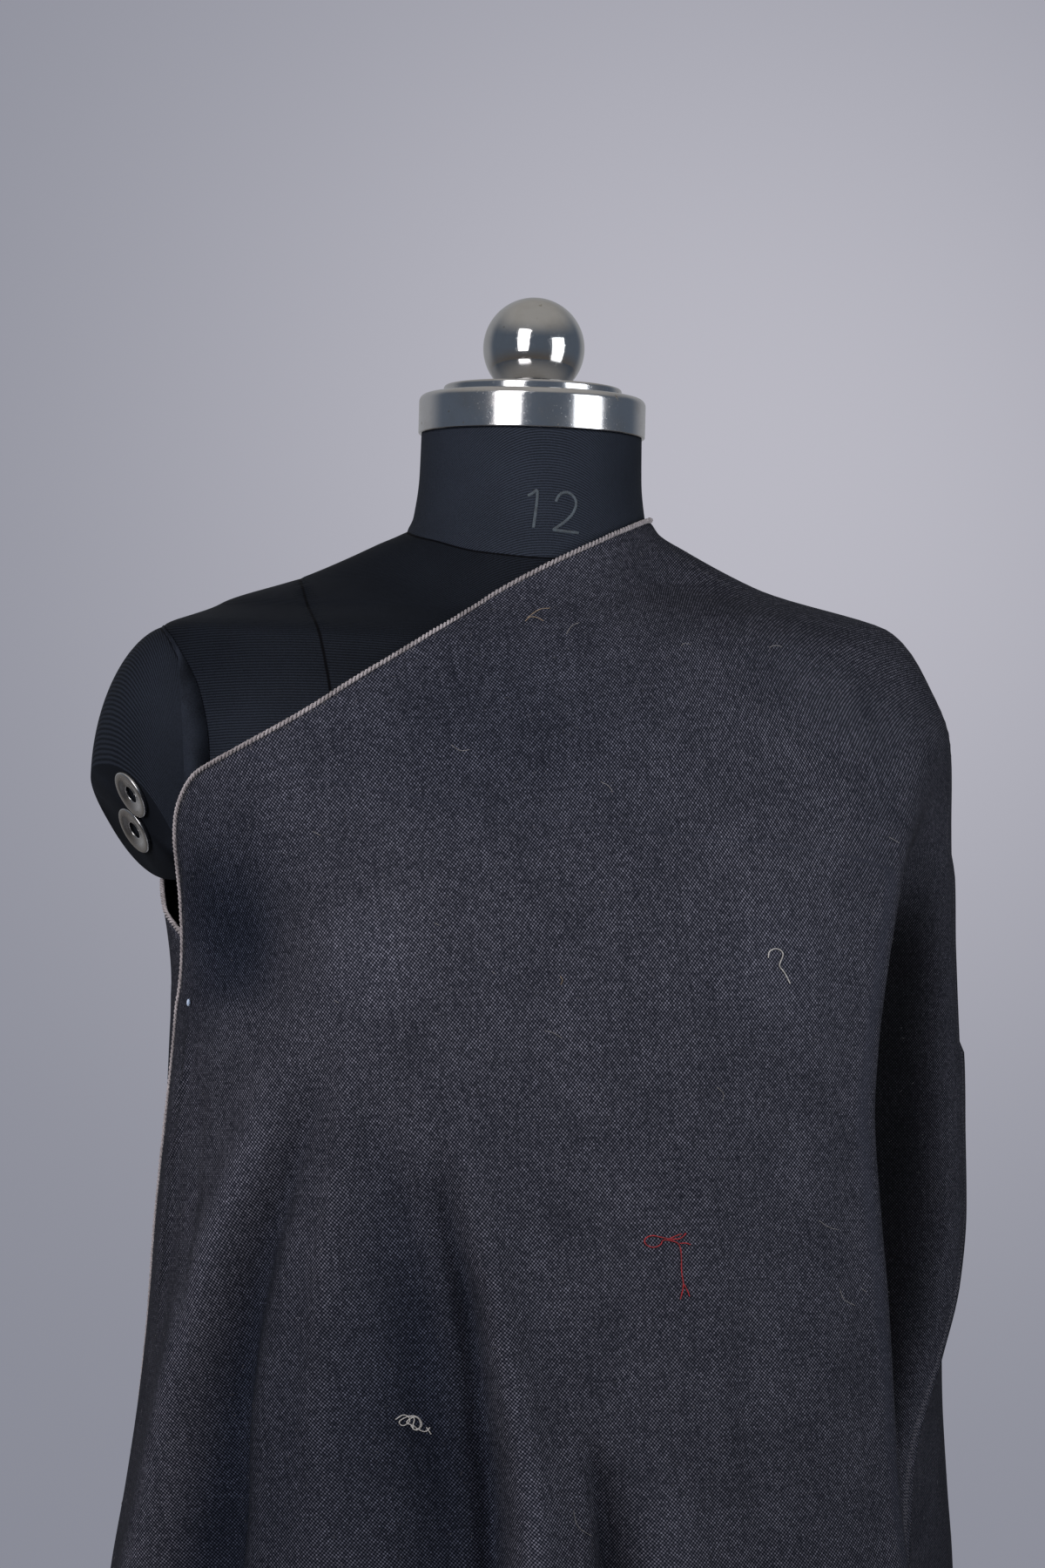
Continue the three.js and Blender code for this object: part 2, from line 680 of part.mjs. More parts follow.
function neckKnob() {
  const seat = bandTop + discThick + 2 * gap;
  const centre = seat + knobSeat;
  const profile = [[0, seat]];
  const first = -Math.asin(knobSeat / knobRadius);
  for (let i = 0; i < knobSteps; i += 1) {
    const turn = first + ((Math.PI / 2 - first) * i) / knobSteps;
    profile.push([knobRadius * Math.cos(turn), centre + knobRadius * Math.sin(turn)]);
  }
  profile.push([0, centre + knobRadius]);
  return turned(profile, knobSides);
}

const torsoBottom = formRings[0];
const boardTop = torsoBottom - gap;
const boardBottom = boardTop - boardThick;
const collarTop = boardBottom - gap;
const collarBottom = collarTop - collarHeight;

function bottomBoard() {
  const rings = [boardBottom, boardTop].map((height) => {
    const ring = [];
    for (let j = 0; j < formSides; j += 1) {
      const angle = (360 * j) / formSides;
      ring.push(polarPoint(formRadius(angle, torsoBottom) - boardInset, angle, height));
    }
    return ring;
  });
  return ringLoft(rings);
}

function poleCollar() {
  return turned([
    [0, collarBottom],
    [collarNeck.foot, collarBottom],
    [collarNeck.top, collarBottom + collarNeck.height],
    [collarRadius, collarTop - collarRim],
    [collarRadius, collarTop],
    [0, collarTop],
  ], turnedSides);
}

function pole() {
  const bottom = hub.height + gap;
  const top = collarBottom - gap;
  return new THREE.CylinderGeometry(poleRadius, poleRadius, top - bottom, turnedSides)
    .rotateX(Math.PI / 2)
    .translate(0, 0, (top + bottom) / 2);
}

function standBase() {
  return turned([
    [0, 0],
    [baseRadius - baseChamfer, 0],
    [baseRadius, baseChamfer],
    [baseRadius, baseEdge - baseChamfer],
    [baseRadius - baseChamfer, baseEdge],
    [baseSlope.radius, baseSlope.height],
    [hub.radius, hub.foot],
    [hub.top, hub.height],
    [0, hub.height],
  ], baseSides);
}

function sidePin() {
  const normal = clothNormal(pinPlace.angle, pinPlace.height);
  const place = clothPoint(pinPlace.angle, pinPlace.height)
    .addScaledVector(normal, clothWall / 2 + gap + pinHeadRadius);
  return new THREE.SphereGeometry(pinHeadRadius, 10, 8).translate(place.x, place.y, place.z);
}

const group = new THREE.Group();

function add(name, geometry, look) {
  const mesh = new THREE.Mesh(geometry, look);
  mesh.name = name;
  group.add(mesh);
}

add('stole_front', frontStretch(), material(woven, 0.9, 0));
add('stole_side', sideStretch(), material(woven, 0.9, 0));
add('stole_back', backStretch(), material(woven, 0.9, 0));
add('selvedge_front', selvedgeStrip(frontRoute, -1), material(0x8d8888, 0.9, 0));
add('selvedge_back', selvedgeStrip(backRoute, 1), material(0x8d8888, 0.9, 0));
add('side_pin', sidePin(), material(0xb9cbe0, 0.3, 0.2));
add('form_torso', formBody(0), material(jersey, 0.85, 0));
add('arm_cap_left', armCap(-1), material(jersey, 0.85, 0));
add('arm_cap_right', armCap(1), material(jersey, 0.85, 0));
for (const spot of washerSpots) {
  add(spot.name, armWasher(spot), material(0xc9c9cc, 0.2, 1));
}
add('neck_band', neckBand(), material(0xc4c4c6, 0.15, 1));
add('neck_disc', neckDisc(), material(0xc4c4c6, 0.2, 1));
add('neck_knob', neckKnob(), material(0xc4c4c6, 0.12, 1));
add('bottom_board', bottomBoard(), material(0x1c1c1e, 0.6, 0));
add('pole_collar', poleCollar(), material(0x9a9a9c, 0.3, 1));
add('pole', pole(), material(0xb4b4b6, 0.2, 1));
add('stand_base', standBase(), material(0x1a1a1b, 0.4, 0.3));

export default group;
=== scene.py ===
import math

import bpy
import numpy as np
from mathutils import Euler, Matrix, Vector


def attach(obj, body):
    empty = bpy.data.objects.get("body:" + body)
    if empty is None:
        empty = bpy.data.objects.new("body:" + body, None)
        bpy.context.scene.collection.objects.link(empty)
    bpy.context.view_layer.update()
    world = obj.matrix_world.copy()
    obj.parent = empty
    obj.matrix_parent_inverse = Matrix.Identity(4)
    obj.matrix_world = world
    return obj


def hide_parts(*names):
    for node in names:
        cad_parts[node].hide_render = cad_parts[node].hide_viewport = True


# A dark woven stole with a light selvedge, worn over one shoulder of a limbless dress form on a stand.
# Tables and shapes are in millimetres and become metres when a mesh is made. +Z is up, -Y is the front.
# An angle runs round the upright axis: 0 at the front, 90 at +X, 180 at the back, -90 at -X.

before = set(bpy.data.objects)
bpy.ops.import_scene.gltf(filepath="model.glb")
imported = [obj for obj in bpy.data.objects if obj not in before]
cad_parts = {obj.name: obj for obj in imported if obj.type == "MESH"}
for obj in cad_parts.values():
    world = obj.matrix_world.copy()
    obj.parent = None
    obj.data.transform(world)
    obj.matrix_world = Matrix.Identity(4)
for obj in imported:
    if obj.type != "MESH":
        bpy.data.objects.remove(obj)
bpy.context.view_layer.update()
scene = bpy.context.scene
mm = 0.001
degree = math.radians(1)


def table(columns, rows):
    # one array for each named column
    return dict(zip(columns.split(), np.array(rows, float).T))


def valueAt(rows, column, at):
    # a smooth curve of one column over the table's first column: cubic pieces,
    # each slope the harmonic mean of the slopes beside it
    x, y = next(iter(rows.values())), rows[column]
    slope = np.diff(y) / np.diff(x)
    before, after = slope[:-1], slope[1:]
    product = before * after
    total = np.where(before + after == 0, 1.0, before + after)
    tangent = np.concatenate([slope[:1], np.where(product > 0, 2 * product / total, 0.0), slope[-1:]])
    at = np.clip(np.asarray(at, float), x[0], x[-1])
    i = np.clip(np.searchsorted(x, at, side="right") - 1, 0, len(x) - 2)
    step = x[i + 1] - x[i]
    t = (at - x[i]) / step
    return ((2 * t**3 - 3 * t**2 + 1) * y[i] + (t**3 - 2 * t**2 + t) * step * tangent[i]
            + (3 * t**2 - 2 * t**3) * y[i + 1] + (t**3 - t**2) * step * tangent[i + 1])


def reader(rows, at):
    # reads any column of a table at the same places
    return lambda column: valueAt(rows, column, at)


def smooth(t):
    # rises from 0 to 1 with level ends
    t = np.clip(t, 0, 1)
    return t * t * (3 - 2 * t)


def bell(x, width):
    # 1 in the middle, falling as e to the minus square of x over width
    return np.exp(-((x / width) ** 2))


def unit(vectors):
    # each vector over its own length
    return vectors / np.maximum(np.linalg.norm(vectors, axis=-1, keepdims=True), 1e-12)


def squareTo(along, vectors):
    # the part of each vector that is square to a direction, at unit length
    return unit(vectors - (vectors * along).sum(-1, keepdims=True) * along)


def distanceAlong(points):
    # distance from the first row to each row, summed step by step
    return np.cumsum(np.linalg.norm(np.diff(points, axis=0, prepend=points[:1]), axis=-1), axis=0)


def polar(radius, angle, height):
    # a point at that radius from the upright axis, angle in degrees
    a = np.radians(angle)
    return np.stack(np.broadcast_arrays(radius * np.sin(a), -radius * np.cos(a), height), axis=-1)


def gridFaces(rows, columns, wrap):
    # quads between neighbouring rows and columns; wrapped, the last column meets the first
    i = np.arange(rows - 1)[:, None]
    j = np.arange(columns if wrap else columns - 1)[None, :]
    a = i * columns + j
    b = i * columns + (j + 1) % columns
    return np.stack(np.broadcast_arrays(a, b, b + columns, a + columns), axis=-1).reshape(-1, 4)


def makePiece(name, points, faces, uv=None, marks=None):
    # points in millimetres; uv in metres, one for each point; marks are named numbers, one for each point
    mesh = bpy.data.meshes.new(name)
    mesh.from_pydata((np.asarray(points) * mm).tolist(), [], [f.tolist() for f in faces])
    if uv is not None:
        layer = mesh.uv_layers.new(name="cloth")
        corner = np.zeros(len(mesh.loops), np.int32)
        mesh.loops.foreach_get("vertex_index", corner)
        layer.data.foreach_set("uv", np.asarray(uv, np.float32)[corner].ravel())
    for label, values in (marks or {}).items():
        layer = mesh.attributes.new(label, "FLOAT", "POINT")
        layer.data.foreach_set("value", np.asarray(values, np.float32).ravel())
    mesh.polygons.foreach_set("use_smooth", np.ones(len(mesh.polygons), bool))
    mesh.update()
    piece = bpy.data.objects.new(name, mesh)
    scene.collection.objects.link(piece)
    return piece


def roundPiece(name, points, uv=None, marks=None):
    # a closed body from rings that run up the piece, with a fan of triangles at each end
    rows, columns = points.shape[:2]
    ends = np.stack([points[0].mean(0), points[-1].mean(0)])
    j = np.arange(columns)
    k = (j + 1) % columns
    last = (rows - 1) * columns
    end = np.full(columns, rows * columns)
    faces = list(gridFaces(rows, columns, True)) + list(np.stack([end, k, j], axis=1))
    faces += list(np.stack([end + 1, last + j, last + k], axis=1))
    if uv is not None:
        uv = np.concatenate([uv.reshape(-1, 2), uv.reshape(rows, columns, 2)[[0, -1]].mean(1)])
    marks = {label: np.concatenate([values.ravel(), values[[0, -1]].mean(1)])
             for label, values in (marks or {}).items()}
    return makePiece(name, np.concatenate([points.reshape(-1, 3), ends]), faces, uv, marks)


def tubeRings(path, across, radius, sides):
    # rings round a path: across is a direction to the side of it, radius one number or one for each point
    along = unit(np.gradient(path, axis=0))
    side = squareTo(along, across)
    up = np.cross(along, side)
    turn = np.arange(sides) * 2 * np.pi / sides
    radius = np.broadcast_to(radius, (len(path),))[:, None, None]
    ring = np.cos(turn)[None, :, None] * side[:, None] + np.sin(turn)[None, :, None] * up[:, None]
    return path[:, None] + radius * ring


def joinPieces(name, pieces):
    # all the pieces as one, under the first one's new name
    bpy.ops.object.select_all(action="DESELECT")
    for piece in pieces:
        piece.select_set(True)
    bpy.context.view_layer.objects.active = pieces[0]
    bpy.ops.object.join()
    pieces[0].name = name
    pieces[0].data.name = name
    return pieces[0]


def finishPiece(piece, material, nodes):
    # gives the piece its material, hides the CAD nodes it stands for, and puts it under its body
    piece.data.materials.clear()
    piece.data.materials.append(material)
    if nodes:
        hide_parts(*nodes)
    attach(piece, "root")
    return piece


viewSet = {
    "turn": -8.5,       # degrees round the upright axis
    "height": 1.266,
    "distance": 2.0,
    "lens": 87.9,
    "roll": 1.5,        # degrees
}


def makeCamera(v):
    # on a circle round the upright axis, looking level at it, then rolled
    data = bpy.data.cameras.new("camera")
    data.lens = v["lens"]
    data.sensor_width = 36
    camera = bpy.data.objects.new("camera", data)
    scene.collection.objects.link(camera)
    turn = math.radians(v["turn"])
    place = Matrix.Translation((v["distance"] * math.sin(turn), -v["distance"] * math.cos(turn), v["height"]))
    level = Euler((math.pi / 2, 0, turn)).to_matrix().to_4x4()
    camera.matrix_world = place @ level @ Matrix.Rotation(math.radians(v["roll"]), 4, "Z")
    scene.camera = camera


makeCamera(viewSet)
scene.view_settings.view_transform = "Standard"
print("camera set")


class wire:
    # a value in a shader tree: arithmetic on it makes math nodes, so formulas stand as they are read
    def __init__(self, socket):
        self.socket = socket
        self.tree = socket.id_data

    def math(self, operation, b=0.0):
        return addNode(self.tree, "ShaderNodeMath", {0: self, 1: b}, operation=operation)[0]

    def __add__(self, b):
        return self.math("ADD", b)

    def __sub__(self, b):
        return self.math("SUBTRACT", b)

    def __mul__(self, b):
        return self.math("MULTIPLY", b)

    def __truediv__(self, b):
        return self.math("DIVIDE", b)

    def into(self, target):
        self.tree.links.new(self.socket, target)


def addNode(tree, kind, inputs=None, **settings):
    # a node with its settings, its inputs linked or set; gives its outputs by name and by number
    made = tree.nodes.new(kind)
    for key, value in settings.items():
        setattr(made, key, value)
    for key, value in (inputs or {}).items():
        if isinstance(value, wire):
            value.into(made.inputs[key])
        else:
            made.inputs[key].default_value = value
    wires = [wire(s) for s in made.outputs]
    return {**{w.socket.name: w for w in wires}, **dict(enumerate(wires))}


def blendColour(factor, a, b):
    # a where factor is 0, b where it is 1
    return addNode(factor.tree, "ShaderNodeMix", {0: factor, 6: a, 7: b}, data_type="RGBA")[2]


def ramp(value, low, high, to0=0.0, to1=1.0):
    # to0 where value is at low, to1 where it is at high, eased between
    return addNode(value.tree, "ShaderNodeMapRange",
                   {"Value": value, "From Min": low, "From Max": high, "To Min": to0, "To Max": to1},
                   interpolation_type="SMOOTHSTEP")[0]


def noise(vector, scale, detail=2.0, rough=0.5, output=0):
    # output 0 is one number, output 1 three of them
    return addNode(vector.tree, "ShaderNodeTexNoise",
                   {"Vector": vector, "Scale": scale, "Detail": detail, "Roughness": rough})[output]


def vectorMath(a, operation, b, output=0):
    # output 0 is a vector, output 1 a number
    return addNode(a.tree, "ShaderNodeVectorMath", {0: a, 1: b}, operation=operation)[output]


def dimmed(colour, amount):
    # colour times one number
    return addNode(colour.tree, "ShaderNodeVectorMath", {0: colour, "Scale": amount}, operation="SCALE")[0]


def newGroup(name, inputs, outputs):
    # inputs are name, kind and value, outputs name and kind
    group = bpy.data.node_groups.new(name, "ShaderNodeTree")
    for label, kind, value in inputs:
        socket = group.interface.new_socket(label, in_out="INPUT", socket_type="NodeSocket" + kind)
        socket.default_value = value
    for label, kind in outputs:
        group.interface.new_socket(label, in_out="OUTPUT", socket_type="NodeSocket" + kind)
    return group, addNode(group, "NodeGroupInput"), group.nodes.new("NodeGroupOutput").inputs


def newMaterial(name, sockets):
    # a material with one Principled shader, whose plain values are set on its own sockets
    material = bpy.data.materials.new(name)
    material.use_nodes = True
    tree = material.node_tree
    tree.nodes.clear()
    shader = tree.nodes.new("ShaderNodeBsdfPrincipled")
    out = tree.nodes.new("ShaderNodeOutputMaterial")
    tree.links.new(shader.outputs[0], out.inputs[0])
    for label, value in sockets.items():
        shader.inputs[label].default_value = value
    return material, tree, shader.inputs


# how uneven the weave is: the share of each noise, and the brightness of single flecks
weaveSet = {"warp": 0.4, "weft": 0.3, "patch": 0.5, "mottle": 0.9, "average": 1.05, "contrast": 2.2,
            "fleckLeast": 0.48, "fleckSpread": 0.8, "wobble": 0.0004, "softness": -0.45}


def clothGroup(w):
    # flecks at every other crossing of a square net of threads, uneven from thread to thread
    group, given, out = newGroup("weave", [
        ("Cloth", "Vector", (0, 0, 0)), ("Pitch", "Float", 0.00092), ("Unevenness", "Float", 0.6),
        ("Ground", "Color", (0.01, 0.012, 0.018, 1)), ("Fleck", "Color", (0.2, 0.19, 0.21, 1)),
    ], [("Color", "Color"), ("Height", "Float")])
    cloth = given["Cloth"]
    shift = vectorMath(noise(cloth, 170, output=1), "SUBTRACT", (0.5, 0.5, 0.5))
    moved = vectorMath(cloth, "ADD", vectorMath(shift, "MULTIPLY", (w["wobble"], w["wobble"], 0)))
    parts = addNode(group, "ShaderNodeSeparateXYZ", {0: moved})
    u, v = parts[0] / given["Pitch"], parts[1] / given["Pitch"]
    i, j = u.math("FLOOR"), v.math("FLOOR")
    even = (i + j).math("FLOORED_MODULO", 2.0).math("LESS_THAN", 0.5)
    swing = [(s.math("FRACT") * math.pi).math("SINE") for s in (u, v)]
    dot = ramp(swing[0] * swing[1] * (even * 2.0 - 1.0), w["softness"], 1.0)
    cell = addNode(group, "ShaderNodeCombineXYZ", {0: i, 1: j})[0]
    chance = addNode(group, "ShaderNodeTexWhiteNoise", {"Vector": cell}, noise_dimensions="2D")[0]
    warp = noise(vectorMath(cloth, "MULTIPLY", (620, 9, 1)), 1.0, 3.0)
    weft = noise(vectorMath(cloth, "MULTIPLY", (14, 560, 1)), 1.0)
    uneven = warp * w["warp"] + weft * w["weft"] + noise(cloth, 26.0, 3.0) * w["patch"]
    uneven = uneven + noise(cloth, 420.0) * w["mottle"] - w["average"]
    uneven = uneven * (given["Unevenness"] * w["contrast"]) + 1.0
    raised = dot * ((chance * w["fleckSpread"] + w["fleckLeast"]) * uneven)
    colour = dimmed(given["Fleck"], raised.math("MAXIMUM", 0.0))
    vectorMath(colour, "ADD", given["Ground"]).into(out["Color"])
    raised.into(out["Height"])
    return group


def ribGroup():
    # a sine across a distance, drifting a little, with thread noise and wide patches
    group, given, out = newGroup("fine ribs", [
        ("Across", "Float", 0.0), ("Surface", "Vector", (0, 0, 0)), ("Pitch", "Float", 0.0014),
        ("Dark", "Color", (0.008, 0.009, 0.013, 1)), ("Light", "Color", (0.02, 0.022, 0.03, 1)),
    ], [("Color", "Color"), ("Height", "Float")])
    where = given["Surface"]
    drift = (noise(where, 55.0) - 0.5) * 0.0007
    turns = (given["Across"] + drift) / given["Pitch"]
    wave = (turns * (2 * math.pi)).math("SINE") * 0.5 + 0.5
    tone = wave + (noise(where, 1600.0) - 0.5) * 1.3 + (noise(where, 22.0, 3.0) - 0.5) * 0.8
    blendColour(ramp(tone, -0.1, 1.1), given["Dark"], given["Light"]).into(out["Color"])
    wave.into(out["Height"])
    return group


def wearGroup():
    # handling marks on bright metal: turned lines round the axis, fine pits and a warm tarnish
    group, given, out = newGroup("metal wear", [
        ("Surface", "Vector", (0, 0, 0)), ("Clean", "Color", (0.62, 0.62, 0.63, 1)),
        ("Tarnish", "Color", (0.42, 0.36, 0.28, 1)), ("Amount", "Float", 0.4), ("Smooth", "Float", 0.12),
        ("Lines", "Float", 1.0),
    ], [("Color", "Color"), ("Roughness", "Float"), ("Height", "Float")])
    where = given["Surface"]
    pits = ramp(noise(where, 900.0, 2.0, 0.6), 0.62, 0.72)
    specks = ramp(noise(where, 160.0), 0.70, 0.74)
    lines = noise(vectorMath(where, "MULTIPLY", (20, 20, 2600)), 1.0, 3.0)
    dirt = ramp(noise(where, 38.0, 4.0, 0.6), 0.42, 0.72) * given["Amount"]
    dirt = dirt.math("MAXIMUM", specks * 0.8)
    blendColour(dirt, given["Clean"], given["Tarnish"]).into(out["Color"])
    (dirt * 0.25 + given["Smooth"] + pits * 0.12).into(out["Roughness"])
    (lines * given["Lines"] + pits * 0.8).into(out["Height"])
    return group


def placeGroup(tree, group, inputs):
    return addNode(tree, "ShaderNodeGroup", inputs, node_tree=group)


def bumpFrom(shader, height, strength, distance):
    # tilts the shading by a height, distance in metres
    given = {"Strength": strength, "Distance": distance, "Height": height}
    addNode(height.tree, "ShaderNodeBump", given)[0].into(shader["Normal"])


def dimEdges(colour, least, power):
    # seen edge on, the dark upper threads hide the rest: colour x (least + (1 - least) x facing^power)
    away = addNode(colour.tree, "ShaderNodeLayerWeight", {"Blend": 0.5})["Facing"]
    facing = (away * -1.0 + 1.0).math("POWER", power)
    return dimmed(colour, facing * (1 - least) + least)


def objectSpace(tree):
    return addNode(tree, "ShaderNodeTexCoord")["Object"]


def pieceUv(tree):
    return addNode(tree, "ShaderNodeUVMap", uv_map="cloth")[0]


def mark(tree, label):
    # one of the named numbers on the mesh
    return addNode(tree, "ShaderNodeAttribute", attribute_name=label)["Fac"]


weave = clothGroup(weaveSet)
ribs = ribGroup()
metalWear = wearGroup()

clothLook = {
    "pitch": 0.00092,
    "ground": (0.0056, 0.0072, 0.0130, 1),
    "fleck": (0.173, 0.171, 0.212, 1),
    "unevenness": 0.8,
    "sheen": 0.03,
    "sheenTint": (0.42, 0.47, 0.6, 1),
    "nap": (0.02, 0.022, 0.03, 1),
    "napMost": 0.2,
    "stitch": (0.16, 0.155, 0.18, 1),
    "stitchMost": 0.6,
    "stitchPitch": 0.0018,
    # the ridge colour is a painted sheen
    "ridge": (0.036, 0.039, 0.056, 1),
    "ridgeSheenMost": 0.55,
    # painted shade deep inside the side fold
    "sideFoldShade": 0.10,
    # painted shade tint in the troughs and painted highlight on the crests
    "troughShadeTint": (0.37, 0.43, 0.52, 1),
    "crestHighlight": 1.32,
    "edgeDim": 0.25,
    "edgePower": 0.8,
}


def stoleMaterial(look):
    material, tree, shader = newMaterial("stole weave", {
        "Roughness": 0.92, "Sheen Weight": look["sheen"], "Sheen Roughness": 0.45,
        "Sheen Tint": look["sheenTint"], "Specular IOR Level": 0.06,
    })
    cloth = placeGroup(tree, weave, {
        "Cloth": pieceUv(tree), "Pitch": look["pitch"], "Ground": look["ground"], "Fleck": look["fleck"],
        "Unevenness": look["unevenness"],
    })
    nap = ramp(noise(objectSpace(tree), 60.0, 4.0, 0.65), 0.35, 0.75, 0.0, look["napMost"])
    colour = blendColour(nap, cloth["Color"], look["nap"])
    # a dashed line of light stitches along the rolled edge of the side fold
    line = ramp(mark(tree, "rollLine").math("ABSOLUTE"), 0.0011, 0.0002)
    dash = (mark(tree, "rollRun") * (2 * math.pi / look["stitchPitch"])).math("SINE")
    colour = blendColour(line * ramp(dash, -0.2, 0.8) * look["stitchMost"], colour, look["stitch"])
    # painted sheen: a blue-grey band without flecks along the ridge beside the deep fold
    ridge = ramp(mark(tree, "ridgeLine").math("ABSOLUTE"), 0.0055, 0.001, 0.0, look["ridgeSheenMost"])
    colour = blendColour(ridge, colour, look["ridge"])
    # painted shade: the troughs are darkened and tinted blue and the deep side fold is darkened; painted
    # highlight: the crests are lightened
    fold = mark(tree, "fold")
    troughShade = blendColour(ramp(fold, -0.024, 0.001), look["troughShadeTint"], (1, 1, 1, 1))
    # painted shade inside the deep side fold
    deep = ramp(mark(tree, "inFold"), 0.0, 1.0, 1.0, look["sideFoldShade"])
    crest = ramp(fold, 0.0, 0.008, 1.0, look["crestHighlight"])
    colour = dimmed(vectorMath(colour, "MULTIPLY", troughShade), deep * crest)
    dimEdges(colour, look["edgeDim"], look["edgePower"]).into(shader["Base Color"])
    bumpFrom(shader, cloth["Height"], 0.14, 0.0003)
    return material


edgeLook = {"dark": (0.25, 0.225, 0.235, 1), "light": (0.47, 0.43, 0.45, 1), "sheen": 0.3}


def selvedgeMaterial(look):
    # two noises, one as fine as a thread, choose between a dark and a light tone
    material, tree, shader = newMaterial("light selvedge", {
        "Roughness": 0.85, "Sheen Weight": look["sheen"], "Sheen Roughness": 0.5, "Specular IOR Level": 0.2,
    })
    where = objectSpace(tree)
    tone = noise(where, 700.0, 3.0)
    mixed = ramp(tone + noise(where, 60.0), 0.7, 1.3)
    blendColour(mixed, look["dark"], look["light"]).into(shader["Base Color"])
    bumpFrom(shader, tone, 0.5, 0.0003)
    return material


jerseyLook = {
    "pitch": 0.0014,
    "dark": (0.0126, 0.0150, 0.0212, 1),
    "light": (0.0365, 0.0445, 0.0640, 1),
    "seam": (0.002, 0.002, 0.003, 1),
    "sheenTint": (0.5, 0.58, 0.75, 1),
    # painted shade on the chest and, darker, on the shoulder top
    "chestShade": 0.70,
    "shoulderShade": 0.40,
    "edgeDim": 0.38,
    "edgePower": 0.8,
}


def jerseyMaterial(look):
    material, tree, shader = newMaterial("ribbed jersey", {
        "Roughness": 0.7, "Sheen Weight": 0.02, "Sheen Roughness": 0.35, "Sheen Tint": look["sheenTint"],
        "Specular IOR Level": 0.05,
    })
    cloth = placeGroup(tree, ribs, {
        "Across": addNode(tree, "ShaderNodeSeparateXYZ", {0: pieceUv(tree)})[1],
        "Surface": objectSpace(tree), "Pitch": look["pitch"], "Dark": look["dark"], "Light": look["light"],
    })
    # painted shade: the shoulder top is the darkest, then the chest; the neck above its seam is the lightest
    neck = mark(tree, "seamNeck")
    body = ramp(neck, -0.16, -0.09, look["chestShade"], look["shoulderShade"])
    body = body + ramp(neck, -0.0005, 0.0005, 0.0, 1.0 - look["shoulderShade"])
    # sewn seams, darkest at the stitch line
    seam = neck.math("ABSOLUTE").math("MINIMUM", mark(tree, "seamPanel").math("ABSOLUTE"))
    colour = blendColour(ramp(seam, 0.0003, 0.0012), look["seam"], dimmed(cloth["Color"], body))
    dimEdges(colour, look["edgeDim"], look["edgePower"]).into(shader["Base Color"])
    bumpFrom(shader, cloth["Height"], 0.4, 0.0003)
    return material


def chromeMaterial(name, clean, tarnish, amount, smoothness, lines):
    material, tree, shader = newMaterial(name, {"Metallic": 1.0, "Specular IOR Level": 0.5})
    worn = placeGroup(tree, metalWear, {
        "Surface": objectSpace(tree), "Clean": clean, "Tarnish": tarnish, "Amount": amount,
        "Smooth": smoothness, "Lines": lines,
    })
    worn["Color"].into(shader["Base Color"])
    worn["Roughness"].into(shader["Roughness"])
    bumpFrom(shader, worn["Height"], 0.12, 0.0001)
    return material


def paintMaterial(name, dark, light, roughness):
    # powder coat: a fine orange peel and dust in patches
    material, tree, shader = newMaterial(name, {"Specular IOR Level": 0.5})
    where = objectSpace(tree)
    dust = ramp(noise(where, 14.0, 4.0, 0.6), 0.45, 0.8)
    blendColour(dust, dark, light).into(shader["Base Color"])
    (dust * 0.2 + roughness).into(shader["Roughness"])
    bumpFrom(shader, noise(where, 900.0), 0.25, 0.0003)
    return material


def fibreMaterial(name, colour):
    # a soft fibre, paler and darker along its length
    material, tree, shader = newMaterial(name, {"Roughness": 0.8, "Sheen Weight": 0.2})
    tone = ramp(noise(objectSpace(tree), 500.0), 0.3, 0.7, 0.55, 1.0)
    blendColour(tone, (0.02, 0.02, 0.02, 1), colour).into(shader["Base Color"])
    return material


stoleCloth = stoleMaterial(clothLook)
lightEdge = selvedgeMaterial(edgeLook)
jersey = jerseyMaterial(jerseyLook)
# clean and tarnished colour, amount of tarnish, roughness, strength of the turned lines
neckChrome = chromeMaterial("neck chrome", (0.60, 0.60, 0.61, 1), (0.36, 0.31, 0.25, 1), 0.35, 0.13, 1.0)
knobChrome = chromeMaterial("knob chrome", (0.58, 0.58, 0.58, 1), (0.34, 0.31, 0.27, 1), 0.3, 0.07, 0.15)
washerMetal = chromeMaterial("washer metal", (0.62, 0.62, 0.63, 1), (0.25, 0.2, 0.16, 1), 0.3, 0.2, 0.3)
standMetal = chromeMaterial("stand metal", (0.58, 0.58, 0.59, 1), (0.3, 0.28, 0.26, 1), 0.2, 0.16, 0.2)
# dark and dusty colour, roughness
basePaint = paintMaterial("base paint", (0.014, 0.014, 0.015, 1), (0.035, 0.034, 0.033, 1), 0.42)
boardPaint = paintMaterial("board", (0.012, 0.012, 0.013, 1), (0.03, 0.029, 0.028, 1), 0.7)
print("materials made")


